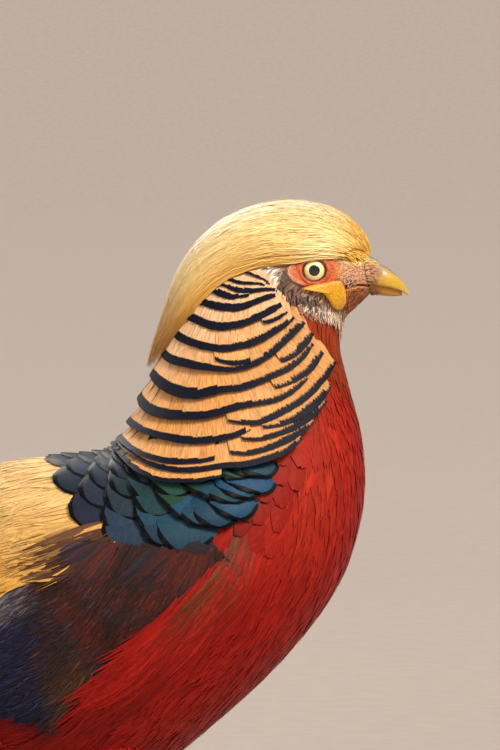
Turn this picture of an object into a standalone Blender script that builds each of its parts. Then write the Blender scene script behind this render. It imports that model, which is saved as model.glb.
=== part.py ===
"""Golden pheasant cock, life size, standing on both feet with its head up and its tail trailing.

+X is forward, +Y is the bird's left and +Z is up, with the floor at Z = 0.
The trunk, from the tail stump through the body and neck to the face, is one form: a row of
sections that each run from a back point to a belly point. A place on it is given by t, the
number of the section, and phi, the angle round the section from the back. Feathers lie on the
form at a lift above it.
"""

import math

import bmesh
import bpy
import numpy as np

MM = 0.001
GAP = 0.3 * MM
LAYER_GAP = 0.55 * MM
WING_GAP = 1.0 * MM
VANE_THICKNESS = 0.6 * MM
QUILL_SINK = 2.2 * MM
ACROSS = (0.0, 1.0, 0.0)

# Sections of the trunk: back x, back z, belly x, belly z and half width, in millimetres.
TRUNK = np.array(
    [
        (-150.5, 182, -152.5, 160, 13),
        (-132, 197, -130, 141, 26),
        (-102, 214, -103, 117, 41),
        (-72, 231, -64, 102.5, 51),
        (-44, 242, -23, 99.5, 55),
        (-22, 245.5, 13, 111, 56.5),
        (-6, 247, 45, 135.5, 55),
        (3, 249.5, 74, 163, 52.5),
        (8, 254.5, 95, 191, 49),
        (12, 262, 104.5, 216, 44.5),
        (15.5, 270, 107.3, 238, 39.5),
        (19.5, 279.5, 105.3, 258, 34.5),
        (24, 290, 100.5, 276, 30),
        (29.5, 301.5, 97, 291, 26),
        (35.5, 313.5, 97, 299.5, 22.5),
        (43.5, 325, 97.5, 303, 20),
        (54.5, 335, 98, 305, 18),
        (69, 341.5, 99.5, 307, 16.5),
        (84, 343, 102.5, 309.5, 15.2),
        (96, 339.5, 106, 312.5, 12.6),
        (104, 335, 108.6, 315, 9.6),
        (109.2, 331, 110, 317, 6.8),
    ]
)
RUMP_END, RUMP_START, FACE_END = 0.0, 2.3, 21.0
NECK_CUT, NECK_CUT_RISE, NECK_CUT_PHI = 7.8, 1.8, 90
HEAD_CUT, HEAD_CUT_RISE, HEAD_CUT_PHI = 14.6, 1.3, 75
CUT_SPREAD = 32
CUT_GAP = 0.7 * MM
NECK_AHEAD = (0.38, 0.0, 0.92)
HEAD_AHEAD = (0.6, 0.0, 0.8)
AROUND = 24

# The folded wing lies on the trunk in front and holds its width behind, where the body narrows.
WING_FORM = np.array(
    [
        (-166, 184, -162, 152, 25),
        (-132, 201, -130, 138, 37),
        (-102, 217, -101, 119, 46),
        (-72, 232, -64, 103, 52.5),
    ]
    + [tuple(row) for row in TRUNK[4:10]]
)

# Outlines of feathers: share of the full width at even steps from root to tip.
SQUARE_TIP = (0.6, 1.0, 0.94)
ROUND_TIP = (0.6, 0.95, 1.0, 0.45)
LOCK = (0.8, 1.0, 0.7, 0.12)
CREST_LOCK = (0.5, 1.0, 0.8, 0.12)
SPEAR = (0.7, 1.0, 0.8, 0.1)
FLIGHT = (0.5, 1.0, 0.9, 0.4)

EYE = dict(x=85.6 * MM, z=325.7 * MM, radius=6.5 * MM, open_x=4.8 * MM, open_z=4.3 * MM)
EYE_DEPTH = 5.6 * MM
LID_WIDTH = 0.9 * MM

# Bill sections from the face to the tip: x, ridge z, mouth line z and half width.
UPPER_BILL = (
    (110.4, 330.6, 319.0, 5.3),
    (113.6, 328.2, 318.5, 4.7),
    (116.5, 326.5, 318.1, 4.1),
    (119.4, 324.3, 317.4, 3.3),
    (122.1, 321.7, 316.6, 2.3),
    (124.2, 318.9, 315.4, 1.2),
    (125.4, 316.4, 314.9, 0.35),
)
LOWER_BILL = (
    (110.6, 318.5, 315.6, 3.9),
    (114.0, 318.1, 314.9, 3.2),
    (117.5, 317.5, 314.7, 2.4),
    (120.2, 316.8, 314.7, 1.5),
    (121.8, 316.2, 315.1, 0.6),
)
MOUTH_LINE = ((99.4, 318.0), (104.2, 319.2), (110.0, 318.85), (112.0, 318.7))
MOUTH_GAP = 0.5 * MM

# Tail: it leaves the rump at TAIL_START and bends down from the first slope to the last.
TAIL_START = (-150.9 * MM, 177.5 * MM)
TAIL_SLOPES = (6.0, 15.5)
TAIL_LENGTH = 700 * MM
TAIL_VAULT = 78 * MM
TAIL_LAYER = 1.1 * MM
TAIL_TOP = -1.2 * MM
TAIL_STATIONS = (8, 60, 140, 250, 400)
TAIL_LENGTHS = (690, 560, 468, 392, 326, 272, 228, 194, 168)
TAIL_WIDTH = 36 * MM

FOOT_X, FOOT_Y = -24 * MM, 27 * MM
TOE_HEIGHT = 0.8
FEATHER_SEED = 11

COLOURS = {
    "gold": ((0.85, 0.55, 0.10), 0.5),
    "orange": ((0.80, 0.38, 0.09), 0.55),
    "scarlet": ((0.45, 0.02, 0.01), 0.5),
    "teal": ((0.03, 0.13, 0.14), 0.35),
    "brown": ((0.13, 0.06, 0.04), 0.6),
    "blue": ((0.02, 0.03, 0.08), 0.4),
    "tail_brown": ((0.28, 0.16, 0.06), 0.6),
    "face": ((0.42, 0.24, 0.15), 0.6),
    "bill": ((0.72, 0.45, 0.08), 0.35),
    "eye": ((0.85, 0.80, 0.45), 0.1),
    "lappet": ((0.85, 0.48, 0.02), 0.5),
    "leg": ((0.55, 0.42, 0.18), 0.5),
    "claw": ((0.12, 0.09, 0.06), 0.35),
}


def clear_scene():
    for thing in list(bpy.data.objects):
        bpy.data.objects.remove(thing, do_unlink=True)


def material(name):
    made = bpy.data.materials.get(name)
    if made is None:
        colour, roughness = COLOURS[name]
        made = bpy.data.materials.new(name)
        made.use_nodes = True
        shader = made.node_tree.nodes["Principled BSDF"]
        shader.inputs["Base Color"].default_value = (*colour, 1.0)
        shader.inputs["Roughness"].default_value = roughness
    return made


def solid(name, points, faces, colour, collection):
    """A mesh object from points and faces of one closed surface, with its faces turned outwards."""
    mesh = bpy.data.meshes.new(name)
    mesh.from_pydata([tuple(p) for p in points], [], [tuple(f) for f in faces])
    shape = bmesh.new()
    shape.from_mesh(mesh)
    bmesh.ops.recalc_face_normals(shape, faces=shape.faces)
    shape.to_mesh(mesh)
    shape.free()
    mesh.materials.append(material(colour))
    made = bpy.data.objects.new(name, mesh)
    collection.objects.link(made)
    return made


def rows_at(rows, t):
    """Values of a table between its rows, on a smooth Catmull-Rom line through them."""
    t = np.clip(np.asarray(t, float), 0, len(rows) - 1)
    i = np.minimum(t.astype(int), len(rows) - 2)
    f = (t - i)[..., None]
    before, here = rows[np.maximum(i - 1, 0)], rows[i]
    after, beyond = rows[i + 1], rows[np.minimum(i + 2, len(rows) - 1)]
    return 0.5 * (
        2 * here
        + (after - before) * f
        + (2 * before - 5 * here + 4 * after - beyond) * f**2
        + (3 * here - before - 3 * after + beyond) * f**3
    )


def on_form(form, t, phi):
    """Points of the form's own surface. phi is in radians, positive on the bird's left."""
    t, phi = np.broadcast_arrays(np.asarray(t, float), np.asarray(phi, float))
    row = rows_at(form, t) * MM
    down = (1 - np.cos(phi)) / 2
    x = row[..., 0] + (row[..., 2] - row[..., 0]) * down
    z = row[..., 1] + (row[..., 3] - row[..., 1]) * down
    return np.stack([x, row[..., 4] * np.sin(phi), z], axis=-1)


def form_normal(form, t, phi):
    """Unit vectors pointing out of the form."""
    step = 0.02
    t, phi = np.broadcast_arrays(np.asarray(t, float), np.asarray(phi, float))
    along = on_form(form, t + step, phi) - on_form(form, t - step, phi)
    around = on_form(form, t, phi + step) - on_form(form, t, phi - step)
    out = np.cross(along, around)
    middle = (on_form(form, t, 0 * phi) + on_form(form, t, 0 * phi + math.pi)) / 2
    out *= np.sign(((on_form(form, t, phi) - middle) * out).sum(-1, keepdims=True))
    return out / np.linalg.norm(out, axis=-1, keepdims=True)


def lifted(form, t, phi, lift):
    return on_form(form, t, phi) + form_normal(form, t, phi) * np.asarray(lift)[..., None]


def bump(angle_deg, middle_deg, spread_deg):
    return np.exp(-(((np.abs(angle_deg) - middle_deg) / spread_deg) ** 2))


def neck_cut(phi):
    """Where the neck ends and the torso starts: higher on the sides, under the cape."""
    return NECK_CUT + NECK_CUT_RISE * bump(np.degrees(phi), NECK_CUT_PHI, CUT_SPREAD)


def head_cut(phi):
    """Where the head ends and the neck starts: it runs up behind the cheek."""
    return HEAD_CUT + HEAD_CUT_RISE * bump(np.degrees(phi), HEAD_CUT_PHI, CUT_SPREAD)


def ring_faces(rings, around):
    """Quads between closed rings of points, laid one after another."""
    faces = []
    for k in range(rings - 1):
        for j in range(around):
            a, b = k * around + j, k * around + (j + 1) % around
            faces.append((a, b, b + around, a + around))
    return faces


def ring_loft(name, rings, colour, collection):
    """A closed body through rings of equal count, with a fan to the middle at both ends."""
    count, around = len(rings), len(rings[0])
    points = np.concatenate([*rings, rings[0].mean(0)[None], rings[-1].mean(0)[None]])
    faces = ring_faces(count, around)
    first, last = count * around, count * around + 1
    for j in range(around):
        k = (j + 1) % around
        faces.append((k, j, first))
        faces.append(((count - 1) * around + j, (count - 1) * around + k, last))
    return solid(name, points, faces, colour, collection)


def trunk_piece(name, start, end, steps, colour, collection, grow=0.0, ahead=None):
    """A length of the trunk. start and end give t for an angle, so that a cut may be curved.
    ahead is the way from the piece behind, which it clears by the gap of the cut."""
    phi = np.linspace(-math.pi, math.pi, AROUND, endpoint=False)
    low = start(phi) if callable(start) else np.full(AROUND, start)
    high = end(phi) if callable(end) else np.full(AROUND, end)
    share = np.linspace(0, 1, steps + 1)
    rings = [lifted(TRUNK, low + (high - low) * s, phi, np.full(AROUND, grow)) for s in share]
    if ahead is not None:
        rings[0] += np.array(ahead) * CUT_GAP
    return ring_loft(name, rings, colour, collection)


def strip_faces(count, columns):
    """Triangles of a flat strip. Its top and bottom are split along the same diagonals."""
    row, faces = 2 * columns, []
    for k in range(count - 1):
        a, b = k * row, (k + 1) * row
        for c in range(columns - 1):
            faces += [(a + c, a + c + 1, b + c + 1), (a + c, b + c + 1, b + c)]
            low, next_low = a + columns + c, b + columns + c
            faces += [(low, next_low + 1, low + 1), (low, next_low, next_low + 1)]
        right, left = columns - 1, 0
        faces += [
            (a + right, a + columns + right, b + columns + right),
            (a + right, b + columns + right, b + right),
            (a + left, b + columns + left, a + columns + left),
            (a + left, b + left, b + columns + left),
        ]
    last = (count - 1) * row
    for c in range(columns - 1):
        faces += [(c, c + columns, c + columns + 1), (c, c + columns + 1, c + 1)]
        top = last + c
        faces += [(top, top + columns + 1, top + columns), (top, top + 1, top + columns + 1)]
    return faces


def strip(name, top, bottom, colour, collection):
    """A closed flat strip from its top and bottom rows of points."""
    points = np.concatenate([top, bottom], axis=1)
    count, row = points.shape[:2]
    return solid(name, points.reshape(-1, 3), strip_faces(count, row // 2), colour, collection)


def tile(form, start, end, width, lifts, outline, colour, collection, roll=0.0, columns=2):
    """One vane on the form, from start to end as (t, phi in degrees), rising from the first
    lift to the last. roll raises one side, so that neighbours overlap like shingles."""
    share = np.linspace(0, 1, len(outline))
    t = start[0] + (end[0] - start[0]) * share
    phi = np.radians(start[1] + (end[1] - start[1]) * share)
    lift = np.interp(share, np.linspace(0, 1, len(lifts)), lifts)
    normal = form_normal(form, t, phi)
    middle = on_form(form, t, phi) + normal * lift[:, None]
    along = np.gradient(middle, axis=0)
    side = np.cross(normal, along)
    side /= np.linalg.norm(side, axis=1, keepdims=True)
    across = np.linspace(-1, 1, columns)[None, :, None]
    half = (np.array(outline) * width / 2)[:, None, None]
    tilt = (np.array(outline) * roll)[:, None, None]
    spread = middle[:, None] + across * (side[:, None] * half + normal[:, None] * tilt)
    thick = normal[:, None] * VANE_THICKNESS / 2
    return strip("vane", spread + thick, spread - thick, colour, collection)


def fused(core, pieces):
    """Joins a collection of closed pieces to the core and keeps the largest closed surface."""
    if len(pieces.objects):
        union = core.modifiers.new("fuse", "BOOLEAN")
        union.operation, union.solver = "UNION", "MANIFOLD"
        union.operand_type, union.collection = "COLLECTION", pieces
        apply_modifiers(core)
    for piece in list(pieces.objects):
        bpy.data.objects.remove(piece, do_unlink=True)
    bpy.data.collections.remove(pieces)
    keep_largest(core)
    return core


def cut(body, *cutters):
    """Takes the cutters out of the body and removes them."""
    for cutter in cutters:
        step = body.modifiers.new("cut", "BOOLEAN")
        step.operation, step.solver, step.object = "DIFFERENCE", "MANIFOLD", cutter
    apply_modifiers(body)
    for cutter in cutters:
        bpy.data.objects.remove(cutter, do_unlink=True)
    keep_largest(body)
    return body


def apply_modifiers(thing):
    graph = bpy.context.evaluated_depsgraph_get()
    mesh = bpy.data.meshes.new_from_object(thing.evaluated_get(graph))
    thing.modifiers.clear()
    thing.data = mesh


def keep_largest(thing):
    """Removes all but the closed surface that holds the most."""
    shape = bmesh.new()
    shape.from_mesh(thing.data)
    bmesh.ops.remove_doubles(shape, verts=shape.verts, dist=1e-6)
    left, islands = set(shape.faces), []
    while left:
        island, edge = set(), [left.pop()]
        while edge:
            face = edge.pop()
            island.add(face)
            for near in (link for e in face.edges for link in e.link_faces if link in left):
                left.discard(near)
                edge.append(near)
        islands.append(island)
    biggest = max(islands, key=held_volume)
    dropped = [face for island in islands if island is not biggest for face in island]
    bmesh.ops.delete(shape, geom=dropped, context="FACES")
    shape.to_mesh(thing.data)
    shape.free()


def held_volume(island):
    total = 0.0
    for face in island:
        corners = [v.co for v in face.verts]
        for a, b in zip(corners[1:-1], corners[2:]):
            total += corners[0].dot(a.cross(b)) / 6
    return abs(total)


def new_pieces(name):
    made = bpy.data.collections.new(name)
    bpy.context.scene.collection.children.link(made)
    return made


def tiers(form, outer, inner, tips, length, counts, fill, lifts, outline, colour, pieces, draw, **more):
    """Rows of vanes between two guide lines on the form, mirrored about the back.
    outer and inner hold (t, phi) at even steps from the back to the front edge. A row's tips lie
    at a share of the way from inner to outer, and each vane is length long in that share. Vanes
    of one row lie side by side, each filling a share of its place, and rows overlap."""
    outer, inner = np.array(outer, float), np.array(inner, float)
    for row, (tip, count) in enumerate(zip(tips, counts)):
        offset = 0.0 if row % 2 else 0.5
        places = (np.arange(count) + offset) / (count - 0.5 + offset)
        step = places[1] - places[0]
        for side in (-1, 1):
            for q in places:
                if q == 0 and side > 0:
                    continue
                reach = tip + draw.uniform(-0.012, 0.012)
                far = guide(inner, outer, q, reach)
                near = guide(inner, outer, q, max(reach - length, -0.05))
                beside = [guide(inner, outer, np.clip(q + s * step / 2, 0, 1), tip) for s in (-1, 1)]
                ends = [on_form(form, t, math.radians(phi)) for t, phi in beside]
                width = np.linalg.norm(ends[0] - ends[1]) * (2 if q in (0, 1) else 1)
                tile(
                    form,
                    (near[0], side * near[1]),
                    (far[0], side * far[1]),
                    width * fill * draw.uniform(0.96, 1.0),
                    lifts,
                    outline,
                    colour,
                    pieces,
                    **more,
                )


def guide(inner, outer, q, share):
    """The (t, phi) at place q from back to front and at a share of the way to the outer line."""
    at = q * (len(outer) - 1)
    low = rows_at(inner, np.array(at))
    return low + (rows_at(outer, np.array(at)) - low) * share


CAPE_INNER = ((13.4, 0), (13.4, 20), (13.5, 40), (13.9, 57), (14.5, 70), (15.0, 80))
CAPE_OUTER = ((6.9, 0), (7.2, 34), (8.1, 63), (9.5, 92), (10.9, 120), (12.6, 150))
MANTLE_INNER = ((7.5, 0), (7.6, 24), (7.9, 46), (8.6, 66), (9.0, 79), (9.2, 91))
MANTLE_OUTER = ((4.7, 0), (4.7, 22), (4.9, 44), (5.7, 61), (7.0, 75), (8.3, 89))
BACK_INNER = ((4.9, 0), (5.0, 22), (5.1, 44))
BACK_OUTER = ((0.9, 0), (1.0, 26), (1.5, 52))
FLANK_PLUMES = (
    ((8.0, 114), (5.8, 120)),
    ((7.7, 123), (5.9, 129)),
    ((4.3, 126), (2.3, 121)),
    ((3.8, 139), (1.8, 135)),
)


def build_neck(model, draw):
    """The neck under its barred cape, whose broad square feathers fan out from the nape."""
    neck = trunk_piece("neck", neck_cut, head_cut, 9, "orange", model, ahead=NECK_AHEAD)
    cape = new_pieces("cape")
    tiers(
        TRUNK, CAPE_OUTER, CAPE_INNER, (0.27, 0.45, 0.63, 0.81, 1.0), 0.31,
        (4, 4, 5, 5, 6), 0.95, (-QUILL_SINK, 3.4 * MM, 6.0 * MM),
        SQUARE_TIP, "orange", cape, draw,
    )
    return fused(neck, cape)


def build_torso(model, draw):
    """The body, with the scaled mantle, the golden back and the long flank plumes."""
    torso = trunk_piece("torso", RUMP_START, neck_cut, 10, "scarlet", model)
    feathers = new_pieces("torso_feathers")
    tiers(
        TRUNK, MANTLE_OUTER, MANTLE_INNER, (0.5, 0.75, 1.0), 0.42, (4, 4, 5),
        0.95, (-QUILL_SINK, 2.2 * MM, 3.6 * MM, 4.2 * MM), ROUND_TIP, "teal", feathers, draw,
    )
    tiers(
        TRUNK, BACK_OUTER, BACK_INNER, (0.5, 1.0), 0.7, (3, 4),
        0.95, (-QUILL_SINK, 2.4 * MM, 3.8 * MM, 4.4 * MM), LOCK, "gold", feathers, draw,
    )
    for side in (-1, 1):
        for start, end in FLANK_PLUMES:
            tile(
                TRUNK, (start[0], side * start[1]), (end[0], side * end[1]), 13 * MM,
                (-QUILL_SINK, 2.0 * MM, 3.0 * MM, 3.2 * MM), LOCK, "scarlet", feathers,
            )
    return fused(torso, feathers)


def tail_point(along, across, lift):
    """A point of the vaulted tail: along its length, across it, and lifted off it."""
    along, across, lift = np.broadcast_arrays(*(np.asarray(v, float) for v in (along, across, lift)))
    first, last = (math.radians(a) for a in TAIL_SLOPES)
    bend = (last - first) / TAIL_LENGTH
    slope = first + bend * along
    x = TAIL_START[0] - (np.sin(slope) - math.sin(first)) / bend
    z = TAIL_START[1] + (np.cos(slope) - math.cos(first)) / bend
    roll = across / TAIL_VAULT
    radius = TAIL_VAULT + lift
    out = radius * np.cos(roll) - TAIL_VAULT
    return np.stack(
        [x + out * np.sin(slope), radius * np.sin(roll), z + out * np.cos(slope)], axis=-1
    )


def tail_vane(stations, length, inner, outer, level, width, outline, colour, pieces, root=None):
    """A long vane on the tail form, at a level over it. Its quill goes from inner to outer across
    the tail, and its outline gives the share of the width at even steps. root is the level where
    it starts, for a vane that rises out of the tail's base."""
    along = np.array([v for v in stations if v < 0.9 * length] + [length], float)
    share = (along - along[0]) / (along[-1] - along[0])
    broad = np.interp(share, np.linspace(0, 1, len(outline)), outline) * width / 2
    across = (inner + (outer - inner) * share)[:, None] + broad[:, None] * np.array([-1, 0, 1])
    lift = np.full(len(along), level)
    lift[0] = level if root is None else root
    top = tail_point(along[:, None] * MM, across, lift[:, None] + VANE_THICKNESS / 2)
    bottom = tail_point(along[:, None] * MM, across, lift[:, None] - VANE_THICKNESS / 2)
    return strip("vane", top, bottom, colour, pieces)


RECTRIX = (0.5, 1.0, 0.97, 0.85, 0.62, 0.12)
COVERT_STATIONS = (5, 30, 90, 150)
COVERT_LEVELS = (1.2 * MM, 2.3 * MM)
COVERT_ROOT = -2.0 * MM


def build_tail(model):
    """Eighteen tail feathers in graded pairs, the central pair longest and on top, under the
    narrow scarlet coverts."""
    rings = []
    for along, wide, high in ((0.6, 11, 8.4), (8, 12, 8.8), (18, 10, 8), (27, 6, 5)):
        turn = np.linspace(0, 2 * math.pi, 14, endpoint=False)
        rings.append(
            tail_point(along * MM, wide * MM * np.sin(turn), (high * np.cos(turn) - 9) * MM)
        )
    core = ring_loft("tail", rings, "tail_brown", model)
    feathers = new_pieces("rectrices")
    for pair, length in enumerate(TAIL_LENGTHS):
        for side in (-1, 1):
            level = TAIL_TOP - (2 * pair + (side > 0)) * TAIL_LAYER
            inner = side * (1.0 + 0.75 * pair) * MM
            spread = side * (3.0 + 20.0 * (pair / 8) ** 0.8 + 2.2 * pair) * MM
            tail_vane(
                TAIL_STATIONS, length, inner, spread, level,
                TAIL_WIDTH * (1.0 - 0.03 * pair), RECTRIX, "tail_brown", feathers,
            )
    for side in (-1, 1):
        for k in range(3):
            tail_vane(
                COVERT_STATIONS, 250 - 36 * k, side * (2.6 + 3.2 * k) * MM, side * (12 + 14 * k) * MM,
                COVERT_LEVELS[k % 2], 10.5 * MM, SPEAR, "scarlet", feathers, COVERT_ROOT,
            )
    return fused(core, feathers)


def build_rump(model):
    """The rump, between the body and the tail."""
    return trunk_piece("rump", RUMP_END, RUMP_START - 0.02, 4, "gold", model)


# The crest: angle of its lower edge and height of its top over the trunk, in millimetres, for t.
CREST_EDGE = (
    (12, 14), (13, 27), (14, 40), (15, 50), (16, 60), (17, 66), (18, 74), (19, 76), (20.6, 58),
)
CREST_TOP = (
    (11, 7.4), (12, 8.8), (13, 10.5), (14, 12.8), (15, 14.0), (16, 14.2),
    (17, 13.4), (18, 12.0), (19, 10.6), (20, 8.0), (20.6, 5.5),
)
CREST_CORE = (14.9, 20.6)
CREST_CORE_SHARE = 0.5
CREST_SIDE_DROP = 0.5
# Rows of locks: t of the roots, length in t, number of locks.
CREST_ROWS = ((20.3, 3.0, 5), (19.2, 3.3, 5), (17.9, 3.4, 6), (16.6, 3.6, 6), (15.7, 4.5, 5))
CAPE_TOP = 7.4 * MM


def listed(table, t):
    table = np.array(table)
    return np.interp(t, table[:, 0], table[:, 1])


def crest_height(t, q):
    """Height of the crest's surface at q across it, from -1 to 1."""
    return listed(CREST_TOP, t) * MM * (1 - CREST_SIDE_DROP * q * q)


def build_crest(model, draw):
    """The silky crest: a low cap on the crown, and flat locks that run back over the nape."""
    t = np.linspace(*CREST_CORE, 10)
    q = np.linspace(-1, 1, 11)
    grid = np.broadcast_to(t[:, None], (len(t), len(q)))
    phi = np.radians(listed(CREST_EDGE, t))[:, None] * q
    rim = np.minimum(1 - np.abs(q)[None], np.minimum(t - t[0], t[-1] - t)[:, None] * 0.8)
    rise = np.sqrt(np.clip(rim * 3, 0, 1))
    high = 0.7 * MM + (crest_height(grid, q[None]) * CREST_CORE_SHARE - 0.7 * MM) * rise
    top = lifted(TRUNK, grid, phi, LAYER_GAP + high)
    bottom = lifted(TRUNK, grid, phi, np.full(phi.shape, LAYER_GAP))
    crest = strip("crest", top, bottom, "gold", model)
    locks = new_pieces("locks")
    for root, length, count in CREST_ROWS:
        for k in range(count):
            q = 0.93 * (2 * k + 1 - count) / (count - 1)
            end = root - length * draw.uniform(0.94, 1.06) * (1.0 - 0.12 * abs(q))
            share = np.array([0.3, 0.86, 0.96, 1.0])
            lifts = crest_height(np.linspace(root, end, 4), q) * share
            lifts[2:] = np.maximum(lifts[2:], CAPE_TOP)
            tile(
                TRUNK, (root, q * listed(CREST_EDGE, root)), (end, q * listed(CREST_EDGE, end)),
                9.2 * MM, lifts, CREST_LOCK, "gold", locks,
            )
    return fused(crest, locks)


def ellipsoid(name, centre, radii, colour, collection, segments=12, rings=8):
    shape = bmesh.new()
    bmesh.ops.create_uvsphere(shape, u_segments=segments, v_segments=rings, radius=1.0)
    bmesh.ops.scale(shape, vec=radii, verts=shape.verts)
    bmesh.ops.translate(shape, vec=centre, verts=shape.verts)
    mesh = bpy.data.meshes.new(name)
    shape.to_mesh(mesh)
    shape.free()
    mesh.materials.append(material(colour))
    made = bpy.data.objects.new(name, mesh)
    collection.objects.link(made)
    return made


def face_side(x, z):
    """The face's half width at a place seen from the side."""
    t = np.linspace(HEAD_CUT, FACE_END, 600)
    row = rows_at(TRUNK, t) * MM
    run, fall = row[:, 2] - row[:, 0], row[:, 3] - row[:, 1]
    share = ((x - row[:, 0]) * run + (z - row[:, 1]) * fall) / (run**2 + fall**2)
    off = np.hypot(row[:, 0] + run * share - x, row[:, 1] + fall * share - z)
    best = np.argmin(off)
    return row[best, 4] * math.sqrt(max(0.0, 1 - (2 * share[best] - 1) ** 2))


def lid_ring(side, collection):
    """The rim of bare skin round the open eye."""
    surface = face_side(EYE["x"], EYE["z"])
    turn = np.linspace(0, 2 * math.pi, 14, endpoint=False)
    tube = np.linspace(0, 2 * math.pi, 4, endpoint=False)
    points = []
    for a in turn:
        wide = LID_WIDTH * np.cos(tube)
        x = EYE["x"] + (EYE["open_x"] + 0.7 * MM + wide) * math.cos(a)
        z = EYE["z"] + (EYE["open_z"] + 0.7 * MM + wide) * math.sin(a)
        y = surface - 0.1 * MM + LID_WIDTH * 0.9 * np.sin(tube)
        points.append(np.stack([x, side * y, z], axis=-1))
    faces = ring_faces(len(turn) + 1, len(tube))
    faces = [tuple(i % (len(turn) * len(tube)) for i in face) for face in faces]
    return solid("lid", np.concatenate(points), faces, "face", collection)


def mouth_cutter(collection):
    """A thin curved slot from the corner of the mouth to the bill."""
    half = MOUTH_GAP / 2
    line = np.array(MOUTH_LINE) * MM
    rings = []
    for (x, z), grow in zip(line, (0.4, 1, 1, 1)):
        rings.append(
            np.array(
                [
                    (x, -20 * MM, z - half * grow),
                    (x, 20 * MM, z - half * grow),
                    (x, 20 * MM, z + half * grow),
                    (x, -20 * MM, z + half * grow),
                ]
            )
        )
    return ring_loft("mouth_cutter", rings, "face", collection)


def build_head(model):
    """The head, with an open socket, lids and a mouth line. The bill, crest and eyes are apart."""
    head = trunk_piece("head", head_cut, FACE_END, 11, "face", model, ahead=HEAD_AHEAD)
    lids = new_pieces("lids")
    for side in (-1, 1):
        lid_ring(side, lids)
    fused(head, lids)
    surface = face_side(EYE["x"], EYE["z"])
    cutters = [mouth_cutter(model)]
    for side in (-1, 1):
        centre = (EYE["x"], side * (surface - EYE_DEPTH), EYE["z"])
        around = EYE["radius"] + GAP
        cutters.append(ellipsoid("socket", centre, (around, around, around), "face", model))
        opening = (EYE["x"], side * (surface + 2.6 * MM), EYE["z"])
        depth = 5.2 * MM
        radii = (EYE["open_x"] * 1.12, depth, EYE["open_z"] * 1.12)
        cutters.append(ellipsoid("opening", opening, radii, "face", model))
    cut(head, *cutters)
    for side, name in ((-1, "right"), (1, "left")):
        centre = (EYE["x"], side * (surface - EYE_DEPTH), EYE["z"])
        ellipsoid("eye_" + name, centre, (EYE["radius"],) * 3, "eye", model, 12, 8)
    return head


def lappet_outline():
    """The lappet's side view, from behind the eye along the lower lid and down to its lobe."""
    return np.array(
        [
            (79.5, 317.6), (84.0, 317.9), (89.0, 318.2), (93.6, 319.0), (97.4, 319.6),
            (99.0, 317.0), (99.2, 313.0), (97.8, 309.9), (95.2, 309.0), (92.6, 310.4),
            (90.4, 313.2), (87.6, 315.8), (83.5, 316.9),
        ]
    ) * MM


def build_lappets(model):
    """The yellow fold of bare skin that hangs from below each eye."""
    outline = lappet_outline()
    middle = outline.mean(0)
    for side, name in ((-1, "right"), (1, "left")):
        rings = []
        for share, lift in ((0.5, 0.9), (1.0, 0.9), (1.05, 1.4), (1.0, 2.0), (0.6, 2.7)):
            ring = middle + (outline - middle) * share
            y = np.array([face_side(x, z) for x, z in ring])
            rings.append(np.stack([ring[:, 0], side * (y + lift * MM), ring[:, 1]], axis=-1))
        ring_loft("lappet_" + name, rings, "lappet", model)


def bill_ring(x, ridge, low, half, square):
    """A section of the bill: rounded on one side and flat along the mouth."""
    turn = np.linspace(0, math.pi, 9)
    y = half * np.cos(turn)
    z = low + (ridge - low) * np.sin(turn) ** square
    return np.stack([np.full(9, x), y, z], axis=-1) * MM


def build_bill(model):
    """The two halves of the closed bill, with a nostril on each side of the upper one."""
    upper = ring_loft("bill_upper", [bill_ring(*row, 0.75) for row in UPPER_BILL], "bill", model)
    nostrils = []
    for side in (-1, 1):
        hole = ellipsoid("nostril", (0, 0, 0), (1.9 * MM, 1.2 * MM, 0.75 * MM), "bill", model, 12, 8)
        hole.rotation_euler = (0, math.radians(38), 0)
        hole.location = (113.4 * MM, side * 4.6 * MM, 324.6 * MM)
        nostrils.append(hole)
    bpy.context.view_layer.update()
    cut(upper, *nostrils)
    rings = [bill_ring(x, bottom, top - 0.15, half, 0.75) for x, top, bottom, half in LOWER_BILL]
    ring_loft("bill_lower", rings, "bill", model)


WING_TOP = ((0.0, 62), (1.0, 60), (3.0, 62), (4.5, 69), (5.2, 75), (5.8, 81), (6.5, 89), (7.2, 98))
WING_LOW = ((0.0, 95), (1.0, 104), (2.0, 111), (3.0, 114), (4.5, 113), (5.6, 111), (6.6, 109), (7.2, 107))
WING_CORE = (2.6, 7.2)
# Tiers of coverts: t of their roots and tips, and their lifts.
WING_COVERTS = (
    (6.7, 4.9, (1.2 * MM, 5.4 * MM, 6.6 * MM, 6.2 * MM)),
    (5.2, 3.2, (1.2 * MM, 4.4 * MM, 4.8 * MM, 4.4 * MM)),
)


def wing_phi(t, q):
    """The angle at q from the wing's top edge, 0, to its lower edge, 1."""
    high = listed(WING_TOP, t)
    return high + (listed(WING_LOW, t) - high) * q


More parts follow.
